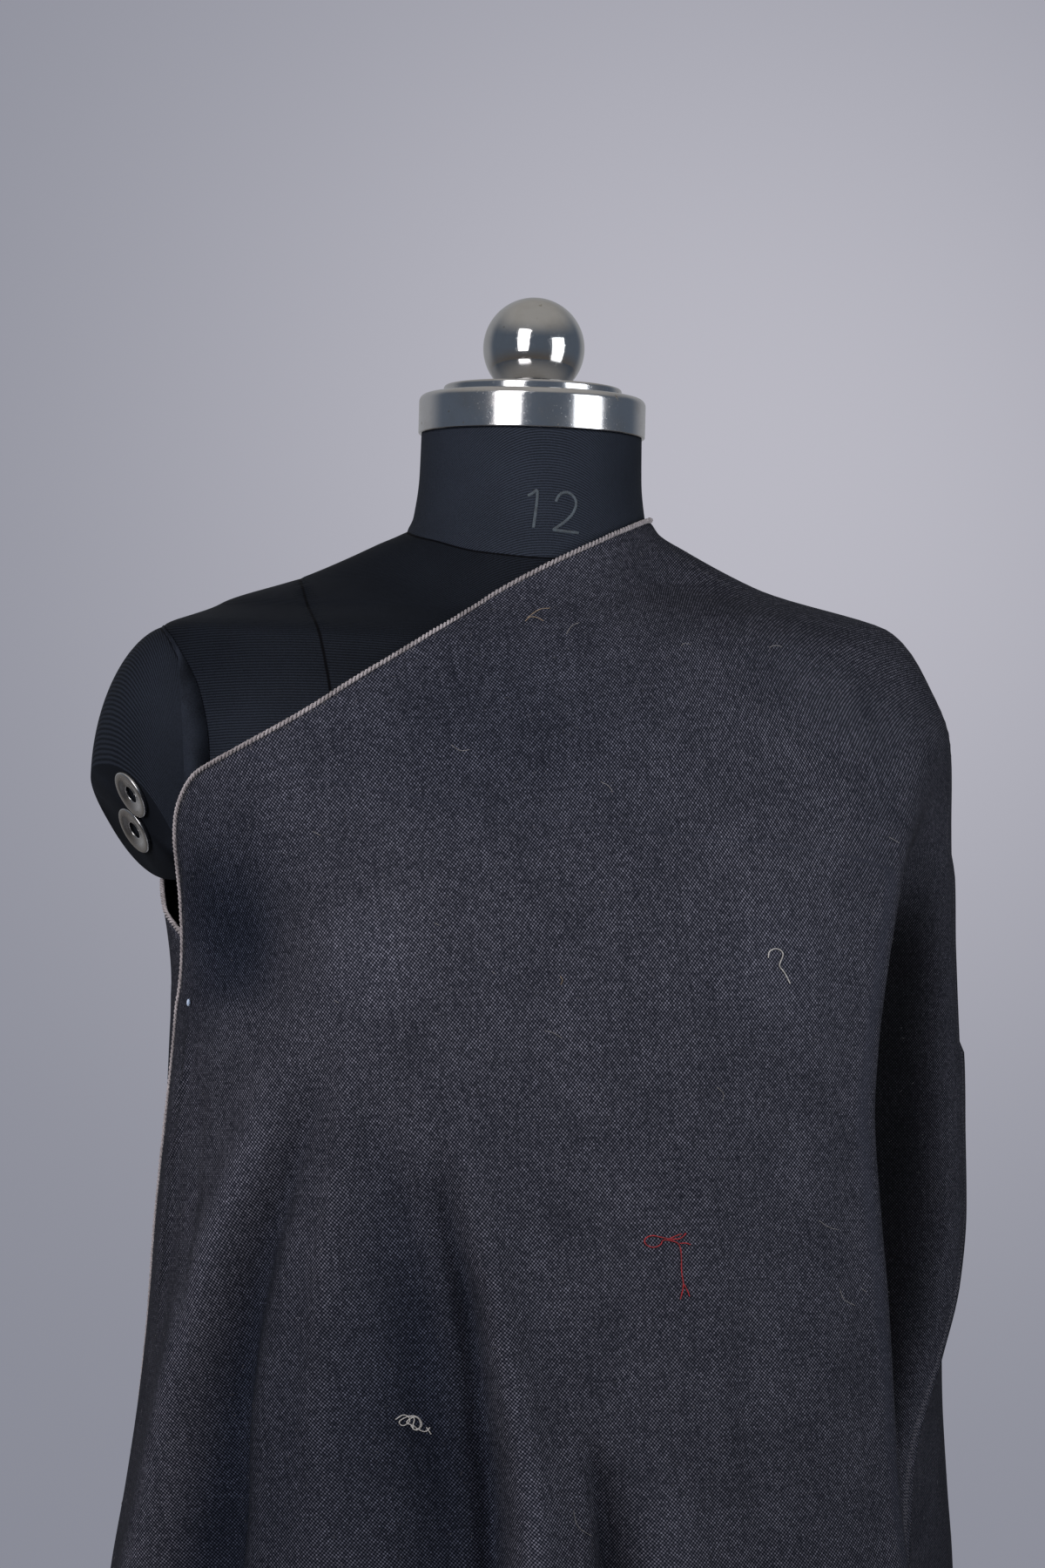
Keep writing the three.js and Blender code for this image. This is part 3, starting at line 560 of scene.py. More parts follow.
formSections = table("height core front back power wing wingPower", [
    (735, 168, 104, 122, 2.3, 0, 5),
    (770, 172, 108, 128, 2.3, 0, 5),
    (830, 164, 108, 120, 2.3, 0, 5),
    (900, 144, 103, 100, 2.2, 0, 5),
    (975, 121, 94, 84, 2.2, 0, 5),
    (1040, 133, 99, 86, 2.2, 0, 5),
    (1100, 152, 110, 92, 2.3, 0, 5),
    (1165, 166, 121, 98, 2.35, 0, 5),
    (1217, 172, 116, 102, 2.4, 0, 5),
    (1270, 180, 104, 103, 2.45, 0, 5),
    (1310, 184, 95, 100, 2.35, 3, 5),
    (1335, 140, 88, 96, 2.2, 50, 5),
    (1346, 100, 83, 92, 2.1, 83, 6),
    (1355, 80, 77, 87, 2, 80, 8),
    (1370, 70, 70, 78, 2, 48, 12),
    (1388, 65, 65, 70, 2, 15, 14),
    (1397, 62.5, 62.5, 65, 2, 1, 14),
    (1404, 60.5, 61, 62, 2, 0, 14),
    (1425, 58, 58.5, 58.5, 2, 0, 14),
    (1450, 57.5, 57.5, 57.5, 2, 0, 14),
])
bust = {"height": 1168, "spread": 58, "angle": 36, "angleSpread": 20, "depth": 9}
formSize = {"bottom": 735, "top": 1447, "columns": 320, "rowsBelow": 70, "rowsAbove": 210, "split": 1215}
seams = {
    "neckRows": table("angle height", [(-180, 1388), (-95, 1396), (-60, 1390), (-30, 1383), (0, 1380.5),
                                       (30, 1383), (60, 1390), (95, 1396), (180, 1388)]),
    "panelRows": table("height across", [(735, 92), (975, 66), (1168, 92), (1240, 101), (1309, 110),
                                         (1338, 115.5), (1359, 120), (1380, 121)]),
    "neckSlope": 1.6,
    "groove": 0.7,
    "grooveWidth": 1.3,
}
farMark = 0.02    # a distance mark clear of every seam, in metres


def ovalRadius(angle, left, right, front, back, power):
    # an oval with its own reach to each side: (|sin|/side)^p + (|cos|/depth)^p = r^-p
    s = np.sin(np.radians(angle))
    c = np.cos(np.radians(angle))
    across = np.abs(s / np.where(s >= 0, right, left)) ** power
    deep = np.abs(c / np.where(c >= 0, front, back)) ** power
    return (across + deep) ** (-1 / power)


def formRadius(angle, height):
    # the oval core, the wing that reaches out to the shoulder, and the two bust rises
    at = reader(formSections, height)
    turn = (angle + 180) % 360 - 180
    wing = at("wing") * np.abs(np.sin(np.radians(angle))) ** at("wingPower")
    rise = bell(turn + bust["angle"], bust["angleSpread"]) + bell(turn - bust["angle"], bust["angleSpread"])
    rise = bust["depth"] * bell(height - bust["height"], bust["spread"]) * rise
    return ovalRadius(angle, at("core"), at("core"), at("front"), at("back"), at("power")) + wing + rise


def surfaceNormal(point, angle, height):
    # outward normal of a surface given by point(angle, height), from points a little way apart
    around = point(angle + 0.1, height) - point(angle - 0.1, height)
    up = point(angle, height + 0.2) - point(angle, height - 0.2)
    return unit(np.cross(around, up))


def formPoint(angle, height):
    return polar(formRadius(angle, height), angle, height)


def makeTorso(size, seam):
    # rings round the form, sunk along the seams, with each point's distance to them
    low = np.linspace(size["bottom"], size["split"], size["rowsBelow"], endpoint=False)
    high = np.linspace(size["split"], size["top"], size["rowsAbove"])
    height = np.concatenate([low, high])[:, None]
    angle = (np.arange(size["columns"]) * 360 / size["columns"] - 180)[None, :]
    radius = formRadius(angle, height)
    points = polar(radius, angle, height)
    # distances to the seams, in metres
    neck = (height - valueAt(seam["neckRows"], "height", angle)) * seam["neckSlope"] * mm
    panel = (np.abs(points[..., 0]) - valueAt(seam["panelRows"], "across", height)) * mm
    panel = np.where(neck < 0, panel, farMark)
    near = np.minimum(np.abs(neck), np.abs(panel)) / mm
    sink = seam["groove"] * bell(near, seam["grooveWidth"])
    points = points - sink[..., None] * surfaceNormal(formPoint, angle, height)
    rib = distanceAlong(points) * mm
    uv = np.stack([np.broadcast_to(angle * mm, rib.shape), rib], axis=-1)
    marks = {"seamNeck": np.broadcast_to(neck, rib.shape), "seamPanel": panel}
    return roundPiece("torso_cover", points, uv, marks)


torso = makeTorso(formSize, seams)
finishPiece(torso, jersey, ["form_torso"])

armSet = {
    "pivotStart": 176, "pivotEnd": 196, "pivotHeight": 1212,
    "arcX": 184, "arcHeight": 1270, "arcReach": 47, "arcRise": 73,
    "depthStart": 47, "depthEnd": 34, "root": 26, "powerStart": 2, "powerEnd": 2.5, "lean": 0.4,
    "clear": 0.5, "rings": 90, "sides": 120, "neckMark": -0.16,
}


def makeArmCap(side, a):
    # ovals that swing from over the shoulder tip down to the arm plate, kept outside the body
    t = np.linspace(0, 1, a["rings"])[:, None]
    t = np.concatenate([[[0.0]], t])
    root = np.concatenate([[[a["root"]]], np.zeros((a["rings"], 1))])
    turn = t * np.pi / 2
    foot = a["pivotStart"] + (a["pivotEnd"] - a["pivotStart"]) * t - root
    topX = a["arcX"] + a["arcReach"] * np.sin(turn) - root
    topZ = a["arcHeight"] + a["arcRise"] * np.cos(turn)
    depth = a["depthStart"] + (a["depthEnd"] - a["depthStart"]) * t
    swing = side * 2 * np.pi * np.arange(a["sides"])[None, :] / a["sides"]
    power = 2 / (a["powerStart"] + (a["powerEnd"] - a["powerStart"]) * t)
    high = np.sign(np.sin(swing)) * np.abs(np.sin(swing)) ** power
    y = depth * np.sign(np.cos(swing)) * np.abs(np.cos(swing)) ** power
    x = side * ((topX + foot) / 2 + (topX - foot) / 2 * high - a["lean"] * t * (depth - y))
    z = (topZ + a["pivotHeight"]) / 2 + (topZ - a["pivotHeight"]) / 2 * high
    angle = np.degrees(np.arctan2(x, -y))
    radius = np.hypot(x, y)
    limit = formRadius(angle, z) + a["clear"]
    points = polar(np.maximum(radius, limit), angle, z)
    across = distanceAlong(points)
    spread = np.broadcast_to(t * 60 * mm, across.shape)
    armhole = (radius - limit) * mm
    armhole = np.where(armhole > 0, armhole, farMark)
    # the caps read as chest, so they take the chest's painted shade
    below = np.full(across.shape, a["neckMark"])
    return roundPiece("arm_cover_right" if side > 0 else "arm_cover_left", points,
                      np.stack([across * 0, spread], axis=-1), {"seamNeck": below, "seamPanel": armhole})


for side, node in ((-1, "arm_cap_left"), (1, "arm_cap_right")):
    finishPiece(makeArmCap(side, armSet), jersey, [node])
print("form covered")


def turnedPiece(name, profile, sides):
    # a profile of radius and height, from the foot up, turned about the upright axis
    profile = np.array(profile, float)
    angle = np.arange(sides) * 360 / sides
    return roundPiece(name, polar(profile[:, :1], angle[None, :], profile[:, 1:]))


def arc(radius, height, curve, start, end, steps):
    # points of a circle about (radius, height), from one angle to another in degrees
    turn = np.radians(np.linspace(start, end, steps))
    return [(radius + curve * c, height + curve * s) for c, s in zip(np.cos(turn), np.sin(turn))]


neckSet = {"bandBottom": 1447.3, "bandTop": 1468, "bandRadius": 59.2, "bandRound": 4, "discRadius": 46.5,
           "discThick": 4.7, "discRound": 1.6, "knobRadius": 26.5, "knobSeat": 20.2, "gap": 0.3,
           "bore": 20, "bandLip": 0.8, "discLip": 0.6}


def makeNeckCap(n):
    # a band, a disc and a ball, each resting a gap above the last
    inner, top, bottom, edge, lip = (n[k] for k in ("bore", "bandTop", "bandBottom", "bandRadius", "bandLip"))
    band = [(inner, bottom)] + arc(edge - lip, bottom + lip, lip, -90, 0, 8)
    band += [(edge, bottom + 1.5), (edge, top - n["bandRound"] - 0.5)]
    band += arc(edge - n["bandRound"], top - n["bandRound"], n["bandRound"], 0, 90, 16)
    band += [(edge - n["bandRound"] - 1, top), (inner, top)]
    finishPiece(turnedPiece("neck_ring", band, 160), neckChrome, ["neck_band"])
    foot = top + n["gap"]
    lid = foot + n["discThick"]
    lip = n["discLip"]
    disc = [(inner, foot)] + arc(n["discRadius"] - lip, foot + lip, lip, -90, 0, 6)
    disc += arc(n["discRadius"] - n["discRound"], lid - n["discRound"], n["discRound"], 0, 90, 12)
    disc += [(n["discRadius"] - n["discRound"] - 1, lid), (inner, lid)]
    finishPiece(turnedPiece("neck_lid", disc, 144), neckChrome, ["neck_disc"])
    seat = lid + n["gap"]
    centre = seat + n["knobSeat"]
    first = -math.degrees(math.asin(n["knobSeat"] / n["knobRadius"]))
    knob = [(inner * 0.6, seat)] + arc(0, centre, n["knobRadius"], first, 89.5, 90)
    finishPiece(turnedPiece("neck_ball", knob, 144), knobChrome, ["neck_knob"])


makeNeckCap(neckSet)

washerSet = {"radius": 13, "bore": 4.5, "thick": 2.2, "rim": 4.4,
             "spots": {"arm_washer_upper": (-17.6, -16), "arm_washer_lower": (3.9, 5.2)}}


def makeWasher(node, spot, w, a):
    # a dished ring, its axis square to the arm plate
    foot = np.array([-a["pivotEnd"], 0.0, a["pivotHeight"]])
    top = np.array([-a["arcX"] - a["arcReach"], 0.0, a["arcHeight"]])
    down = unit(foot - top)
    back = unit(np.array([-a["lean"], 1.0, 0.0]))
    outward = unit(np.cross(back, down))
    middle = (foot + top) / 2 + np.array([a["lean"] * a["depthEnd"], 0, 0])
    centre = middle + down * spot[0] + back * spot[1] + outward * neckSet["gap"]
    profile = [(w["bore"], 0), (w["radius"] - 0.3, 0), (w["radius"], 0.3)]
    profile += arc(w["radius"] - 0.7, w["thick"] - 0.7, 0.7, 0, 90, 6)
    profile += [(w["radius"] - w["rim"], w["thick"]), (w["radius"] - w["rim"] - 0.6, w["thick"] - 0.25)]
    profile += arc(w["bore"] + 0.5, w["thick"] / 2 - 0.1, 0.5, 90, 180, 5)
    profile = np.array(profile + [profile[0]], float)
    turn = np.arange(72) * 2 * np.pi / 72
    beside = np.cross(outward, down)
    across = np.cos(turn)[None, :, None] * down + np.sin(turn)[None, :, None] * beside
    points = centre + profile[:, :1, None] * across + profile[:, 1, None, None] * outward
    faces = gridFaces(len(profile), 72, True)
    piece = makePiece(node + "_turned", points.reshape(-1, 3), faces)
    tidyShell(piece)
    return finishPiece(piece, washerMetal, [node])


def tidyShell(piece):
    # merges doubled points of a closed shell and turns its faces outwards
    bpy.ops.object.select_all(action="DESELECT")
    bpy.context.view_layer.objects.active = piece
    piece.select_set(True)
    bpy.ops.object.mode_set(mode="EDIT")
    bpy.ops.mesh.select_all(action="SELECT")
    bpy.ops.mesh.remove_doubles(threshold=1e-6)
    bpy.ops.mesh.normals_make_consistent(inside=False)
    bpy.ops.object.mode_set(mode="OBJECT")


for node, spot in washerSet["spots"].items():
    makeWasher(node, spot, washerSet, armSet)

standSet = {"gap": 0.3, "boardThick": 12, "boardInset": 4, "collarRadius": 32, "collarHeight": 30,
            "poleRadius": 14, "baseRadius": 215, "baseEdge": 14, "baseCurve": 4, "hubHeight": 40}


def makeStand(s):
    # from the top down: the board under the form, the collar, the pole and the round base
    boardTop = formSize["bottom"] - s["gap"]
    boardLow = boardTop - s["boardThick"]
    angle = np.arange(200)[None, :] * 360 / 200
    steps = np.array([(boardLow, 1.5), (boardLow + 1.5, 0), (boardTop - 1.5, 0), (boardTop, 1.5)])
    radius = formRadius(angle, float(formSize["bottom"])) - s["boardInset"]
    rings = polar(radius - steps[:, 1:], angle, steps[:, :1])
    finishPiece(roundPiece("under_board", rings), boardPaint, ["bottom_board"])
    top = boardLow - s["gap"]
    low = top - s["collarHeight"]
    edge = s["collarRadius"]
    collar = [(2, low), (19, low), (20, low + 1), (21.6, low + 16), (24, low + 20.5), (edge - 1, low + 24),
              (edge, low + 25.5), (edge, top - 0.8), (edge - 0.8, top), (2, top)]
    finishPiece(turnedPiece("collar_turned", collar, 96), standMetal, ["pole_collar"])
    foot = s["hubHeight"] + s["gap"]
    pole = [(2, foot), (s["poleRadius"], foot), (s["poleRadius"], foot + 1)]
    pole += [(s["poleRadius"], low - s["gap"] - 1), (s["poleRadius"], low - s["gap"]), (2, low - s["gap"])]
    finishPiece(turnedPiece("pole_tube", pole, 96), standMetal, ["pole"])
    curve = s["baseCurve"]
    rim = s["baseRadius"] - curve
    base = [(2, 0), (rim - 1, 0)] + arc(rim, curve, curve, -90, 0, 6)
    base += arc(rim, s["baseEdge"] - curve, curve, 0, 80, 8)
    base += [(180, 15.4), (120, 17.6), (74, 20), (50, 22.6), (38, 24.8), (32, 27), (27, 30.5), (23.5, 35.5)]
    base += arc(20, s["hubHeight"] - 2, 2, 20, 90, 5) + [(2, s["hubHeight"])]
    finishPiece(turnedPiece("base_cast", base, 192), basePaint, ["stand_base"])


makeStand(standSet)
print("stand and neck cap made")


drapeSections = table("height left right front back power", [
    (200, 268, 292, 205, 205, 2.1),
    (420, 246, 278, 190, 188, 2.1),
    (700, 220, 260, 170, 160, 2.15),
    (860, 202, 250, 158, 144, 2.2),
    (900, 196, 246, 155, 137, 2.2),
    (950, 190, 242, 152, 130, 2.25),
    (1000, 186, 240, 149, 124, 2.3),
    (1045, 184, 242, 146, 118, 2.3),
    (1100, 181, 240, 143, 112, 2.3),
    (1160, 179, 236, 139, 108, 2.35),
    (1204, 185, 233, 133, 108, 2.4),
    (1249, 195, 229, 123, 108, 2.4),
    (1294, 199, 225, 111, 106, 2.4),
    (1323, 196, 213, 98, 100, 2.3),
    (1350, 170, 194, 80, 88, 2),
    (1372, 100, 115, 60, 68, 1.4),
    (1405, 50, 50, 50, 50, 2),
])
# the deep fold under the right shoulder: angles of its ridge, valley and crest, and how far each is drawn in
sideFold = table("height ridge ridgeIn valley valleyIn crest crestIn", [
    (200, 65, 6, 71, 48, 76, 36),
    (400, 65, 6, 71, 48, 76, 36),
    (700, 63, 4, 70, 44, 75, 34),
    (860, 61, 2, 69.5, 43, 74, 33),
    (890, 60, 2, 70, 46, 75, 31),
    (930, 59, 2, 71, 52, 77, 27),
    (970, 58, 2, 72, 58, 82, 16),
    (1010, 57, 2, 73, 62, 87, 4),
    (1049, 56, 3, 73, 64, 91, 0),
    (1100, 55, 3, 73, 62, 92, 0),
    (1140, 56, 3, 73, 58, 92, 0),
    (1182, 58, 2, 74, 50, 92, 0),
    (1218, 61, 1, 75, 34, 91, 0),
    (1249, 64, 0, 76, 14, 90, 0),
    (1271, 66, 0, 77, 6, 89, 0),
    (1294, 68, 0, 78, 2, 88, 0),
    (1330, 68, 0, 78, 0, 88, 0),
])
sideFoldLead = 30
foldReach = 165    # radius at which a fold's width is measured
sideFoldEnd = 99
# soft hanging folds: each starts at a height, is full at a lower one and drifts from its top angle to its low
softFolds = [
    # top, low, start, full, width, depth
    (41, 43, 1010, 780, 8, -4),
    (118, 120, 1250, 900, 10, 8),
    (136, 137, 1250, 900, 8, -9),
    (156, 155, 1200, 850, 10, 7),
    (178, 176, 1150, 850, 8, -9),
    (198, 196, 1150, 900, 10, 6),
    (222, 220, 1150, 850, 9, -9),
    (243, 243, 1150, 900, 10, 6),
]
foldBottom = 400
# the folds that hang from the left bust, each down its own line; depth out is positive, width is half
foldColumns = "height angle depth width"
frontFolds = {
    "outer swell": table(foldColumns, [
        (400, -81, 9, 28), (898, -73, 7, 19), (959, -70, 7, 17), (1026, -63, 7, 16), (1092, -54.5, 5, 14),
        (1144, -50, 0, 12)]),
    "deep trough": table(foldColumns, [
        (400, -62, -30, 30), (887, -61.5, -30, 21), (942, -61, -25, 18), (984, -58.5, -19, 15),
        (1028, -54.5, -13, 12), (1071, -49.5, -8, 9), (1128, -43.2, 0, 6)]),
    "bust crest": table(foldColumns, [
        (400, -38, 4, 22), (906, -39.5, 4, 13), (968, -40.5, 4.5, 9), (1031, -40.5, 4.5, 7),
        (1095, -38.8, 4, 6), (1150, -38.5, 0, 6)]),
    "wide trough": table(foldColumns, [
        (400, -16, -18, 36), (896, -18.5, -16, 27), (971, -23.5, -14, 24), (1054, -29.8, -9, 19),
        (1095, -33.5, -4, 14), (1120, -34, 0, 12)]),
    "narrow trough": table(foldColumns, [
        (400, -6, -12, 16), (895, -10, -11, 10), (970, -13.5, -10, 9), (1012, -16.3, -9, 8),
        (1062, -21.3, -6, 7), (1096, -23, 0, 6)]),
    "bright crest": table(foldColumns, [
        (400, 3, 13, 24), (897, -2.8, 10, 14), (931, -4.6, 9, 13), (972, -7.4, 8.5, 12),
        (1013, -10.2, 7, 10), (1055, -13.9, 4, 8), (1101, -19, 0, 6)]),
    "low trough": table(foldColumns, [
        (400, 14, -22, 22), (860, 12.8, -16, 10), (891, 11.5, -13, 9), (930, 9.2, -8, 7),
        (955, 6.5, 0, 5)]),
    "low swell": table(foldColumns, [
        (400, 27, 10, 30), (880, 22, 6, 18), (960, 18, 0, 12)]),
}
# the cloth is drawn in between the armpit and the bust, down to a ledge that the pin pulls level
pinHollow = {"angle": -62, "height": 1186, "spread": 13, "tall": 42, "depth": 11, "ledge": 1152, "over": 9}
hemFullness = {"from": 880, "to": 420, "extra": 1.1}
frontRoute = table("height angle", [
    (450, -104), (860, -100), (950, -97), (1024, -92), (1052, -89), (1084, -86), (1116, -83.5),
    (1160, -80.5), (1190, -78), (1216, -76), (1239, -74), (1250.5, -72.5), (1265, -69), (1272.5, -65),
    (1280, -61), (1297, -53), (1320, -44), (1357, -23), (1374, -2.3), (1391.5, 29), (1397, 43),
    (1402, 62), (1404.5, 86),
])
backRoute = table("height angle", [
    (450, 268), (860, 272), (950, 275), (1024, 279), (1080, 282), (1120, 284), (1150, 283), (1172, 278),
    (1195, 269), (1216, 260), (1239, 253.5), (1250, 251), (1265, 247), (1280, 242), (1297, 235),
    (1320, 226), (1357, 205), (1374, 184), (1391.5, 152), (1397, 138), (1402, 119), (1404.5, 94),
])
hem = table("angle height", [
    (-110, 590), (-60, 545), (-10, 480), (40, 415), (66, 345), (80, 262), (86, 540), (93, 800),
    (100, 540), (106, 262), (122, 345), (145, 415), (190, 480), (240, 545), (290, 590),
])
underlap = {"inset": 4.2, "start": 14, "run": 11, "top": 1235, "fade": 25,
            "tuck": 7, "tuckAt": 1205, "tuckSpread": 34}
# the cloth follows the form from a little below, this far out, and is rounded where it leaves it
layOn = {"drop": 1.2, "clear": 1.6, "round": 6}
# the cloth is drawn over the two bust points: angle, height, spread in degrees and in mm, rise
bustPull = [(-38, 1180, 12, 40, 6), (40, 1180, 14, 46, 4)]
# painted shade in patches, taken off the fold mark as if a trough this deep: angle, height, spread in degrees
# and in mm, depth
paintedShadePatches = [(-15, 1300, 50, 80, 12), (-41, 930, 15, 120, 14), (-12, 1010, 16, 90, 6), (-69, 1192, 15, 60, 15)]

# narrow creases and rolls: angle and height of both ends, half width in mm, depth in mm (out is positive)
creases = [
    (-73.5, 1149, -78, 1000, 3.2, 2.6),
    (-77, 1140, -82, 1010, 3.0, -2.4),
    (-70, 1135, -66, 940, 6.0, -1.8),
    (-70, 1150, -50, 1157, 4.0, 1.6),
    (6, 1120, 22, 900, 9.0, -1.6),
    (24, 1160, 34, 900, 8.0, 1.5),
    (52, 1150, 56, 900, 7.0, -1.4),
    (34, 1020, 36, 850, 10.0, -2.0),
    (45, 1260, 47, 980, 12.0, 1.6),
    (110, 1200, 112, 800, 7.0, -2.4),
    (128, 1180, 130, 780, 6.0, 2.2),
    (146, 1160, 147, 700, 7.0, -2.0),
    (167, 1120, 166, 700, 6.0, 2.2),
    (188, 1100, 188, 720, 7.0, -1.8),
    (210, 1120, 209, 760, 6.0, 2.0),
    (233, 1140, 232, 800, 6.0, -2.2),
]
# a narrow roll that runs down the crest of the side fold, with a jog outwards
crestRoll = {"top": 1245, "topFade": 25, "low": 800, "lowFade": 60, "width": 2.4, "height": 2.6,
             "jogAt": 1134, "jogOver": 6, "jogDepth": 2.4, "jogWidth": 9, "jogFade": 130, "stitchInside": 2.4}
sheetSize = {"top": 1404.2, "split": 1345, "break": 860, "rowsTop": 26, "rowsMiddle": 84, "rowsLow": 46,
             "wall": 1.2, "gatherTop": 1340, "gatherRun": 60}
# columns from the front edge to the ridge, valley, crest, end of the fold and back edge, closest in the fold
sheetColumns = (118, 24, 32, 26, 86)


def sideFoldDepth(angle, height):
    # drawn in by steps from the ridge to the valley, out to the crest and back to nothing
    at = reader(sideFold, height)
    ridge, valley, crest = at("ridge"), at("valley"), at("crest")
    lead = smooth((angle - ridge + sideFoldLead) / sideFoldLead)
    fall = smooth((angle - ridge) / (valley - ridge))
    rise = smooth((angle - valley) / (crest - valley))
    end = smooth((angle - crest) / (sideFoldEnd - crest))
    return (at("ridgeIn") * lead + (at("valleyIn") - at("ridgeIn")) * fall
            + (at("crestIn") - at("valleyIn")) * rise - at("crestIn") * end)


def softFoldDepth(angle, height):
    # the sum of bell-shaped folds, each growing and drifting on its way down, fuller near the hem
    nearHem = smooth((hemFullness["from"] - height) / (hemFullness["from"] - hemFullness["to"]))
    total = 0
    for top, low, start, full, width, depth in softFolds:
        middle = top + (low - top) * smooth((start - height) / (start - foldBottom))
        total = total + depth * smooth((start - height) / (start - full)) * bell(angle - middle, width)
    for fold in frontFolds.values():
        at = reader(fold, height)
        across = (angle - at("angle")) * degree * foldReach
        total = total + at("depth") * bell(across, at("width"))
    return total * (1 + hemFullness["extra"] * nearHem)


def moundSum(mounds, angle, height):
    # the sum of mounds, each a bell in angle times a bell in height
    return sum(rise * bell(angle - turn, wide) * bell(height - level, tall)
               for turn, level, wide, tall, rise in mounds)


def pinHollowDepth(angle, height):
    # a bell each way, cut off below the ledge
    h = pinHollow
    hollow = h["depth"] * bell(angle - h["angle"], h["spread"]) * bell(height - h["height"], h["tall"])
    return hollow * smooth((height - h["ledge"]) / h["over"] + 0.5)


def creaseDepth(angle, height, radius):
    # each crease is a bell across its line, faded in over its first fifth and out over its last third
    total = 0
    for angleTop, top, angleLow, low, width, depth in creases:
        along = (top - height) / (top - low)
        middle = angleTop + (angleLow - angleTop) * np.clip(along, 0, 1)
        across = (angle - middle) * degree * radius
        total = total + depth * smooth(along / 0.2) * smooth((1.25 - along) / 0.35) * bell(across, width)
    return total


def crestRollDepth(angle, height, radius):
    # a bell across the crest, and a wider one just below the jog
    r = crestRoll
    crest = valueAt(sideFold, "crest", height)
    across = (angle - crest) * degree * radius
    reach = smooth((r["top"] - height) / r["topFade"]) * smooth((height - r["low"]) / r["lowFade"])
    roll = r["height"] * bell(across, r["width"]) * reach
    below = smooth((r["jogAt"] - height) / r["jogOver"]) * smooth(1 - (r["jogAt"] - height) / r["jogFade"])
    return roll + r["jogDepth"] * bell(across, r["jogWidth"]) * below


def clothRadius(angle, height):
    # the larger of the form and the free hang, rounded where they cross, then folded
    at = reader(drapeSections, height)
    hang = ovalRadius(angle, at("left"), at("right"), at("front"), at("back"), at("power"))
    rest = formRadius(angle, height - layOn["drop"]) + layOn["clear"]
    base = (rest + hang + np.hypot(rest - hang, layOn["round"])) / 2
    frontEdge = valueAt(frontRoute, "angle", height) + 360
    reach = smooth((angle - frontEdge + underlap["start"]) / underlap["run"])
    inset = underlap["inset"] + underlap["tuck"] * bell(height - underlap["tuckAt"], underlap["tuckSpread"])
    under = inset * reach * smooth((underlap["top"] - height) / underlap["fade"])
    base = base + moundSum(bustPull, angle, height) - pinHollowDepth(angle, height)
    radius = base - sideFoldDepth(angle, height) + softFoldDepth(angle, height) - under
    return radius + creaseDepth(angle, height, radius) + crestRollDepth(angle, height, radius)


def clothPoint(angle, height):
    return polar(clothRadius(angle, height), angle, height)


def clothNormal(angle, height):
    return surfaceNormal(clothPoint, angle, height)


def sheetGrid():
    # angles and heights of the whole sheet, row by row from the neck to the hem
    size = sheetSize
    top = np.linspace(size["top"], size["split"], size["rowsTop"], endpoint=False)
    middle = np.linspace(size["split"], size["break"], size["rowsMiddle"])
    rows = np.concatenate([top, middle])
    share = np.concatenate([np.zeros(len(rows)), np.linspace(0, 1, size["rowsLow"] + 1)[1:]])
    rows = np.concatenate([rows, np.full(size["rowsLow"], size["break"])])
    ends = np.cumsum((0,) + sheetColumns)
    column = np.arange(ends[-1] + 1)

    def angleRow(height):
        front = valueAt(frontRoute, "angle", height)
        back = valueAt(backRoute, "angle", height)
        anchors = [front] + [valueAt(sideFold, c, height) for c in ("ridge", "valley", "crest")]
        anchors = np.array(anchors + [sideFoldEnd, back], float)
        even = front + (back - front) * ends / ends[-1]
        near = smooth((size["gatherTop"] - height) / size["gatherRun"])
        return np.interp(column, ends, even + (anchors - even) * near)

    lowest = angleRow(size["break"])
    hemHeight = valueAt(hem, "height", lowest)
    angle = np.zeros((len(rows), len(column)))
    height = np.zeros_like(angle)
    for i, h in enumerate(rows):
        if share[i] == 0:
            angle[i] = angleRow(h)
            height[i] = h
        else:
            height[i] = h + (hemHeight - h) * share[i]
            low = np.array([np.interp(c, column, angleRow(z)) for c, z in zip(column, height[i])])
            angle[i] = low
    return angle, height


# the warp runs up the front fall, over the shoulder and down the back fall, turning between two angles
warpSet = {"turnLow": (98, 100), "turnHigh": (30, 150), "lowAt": 1230, "highAt": 1350, "slant": 7,
           "partColumn": 199, "partBelow": 1300, "evenStep": 4.0, "hold": 1e-7, "steps": 600}


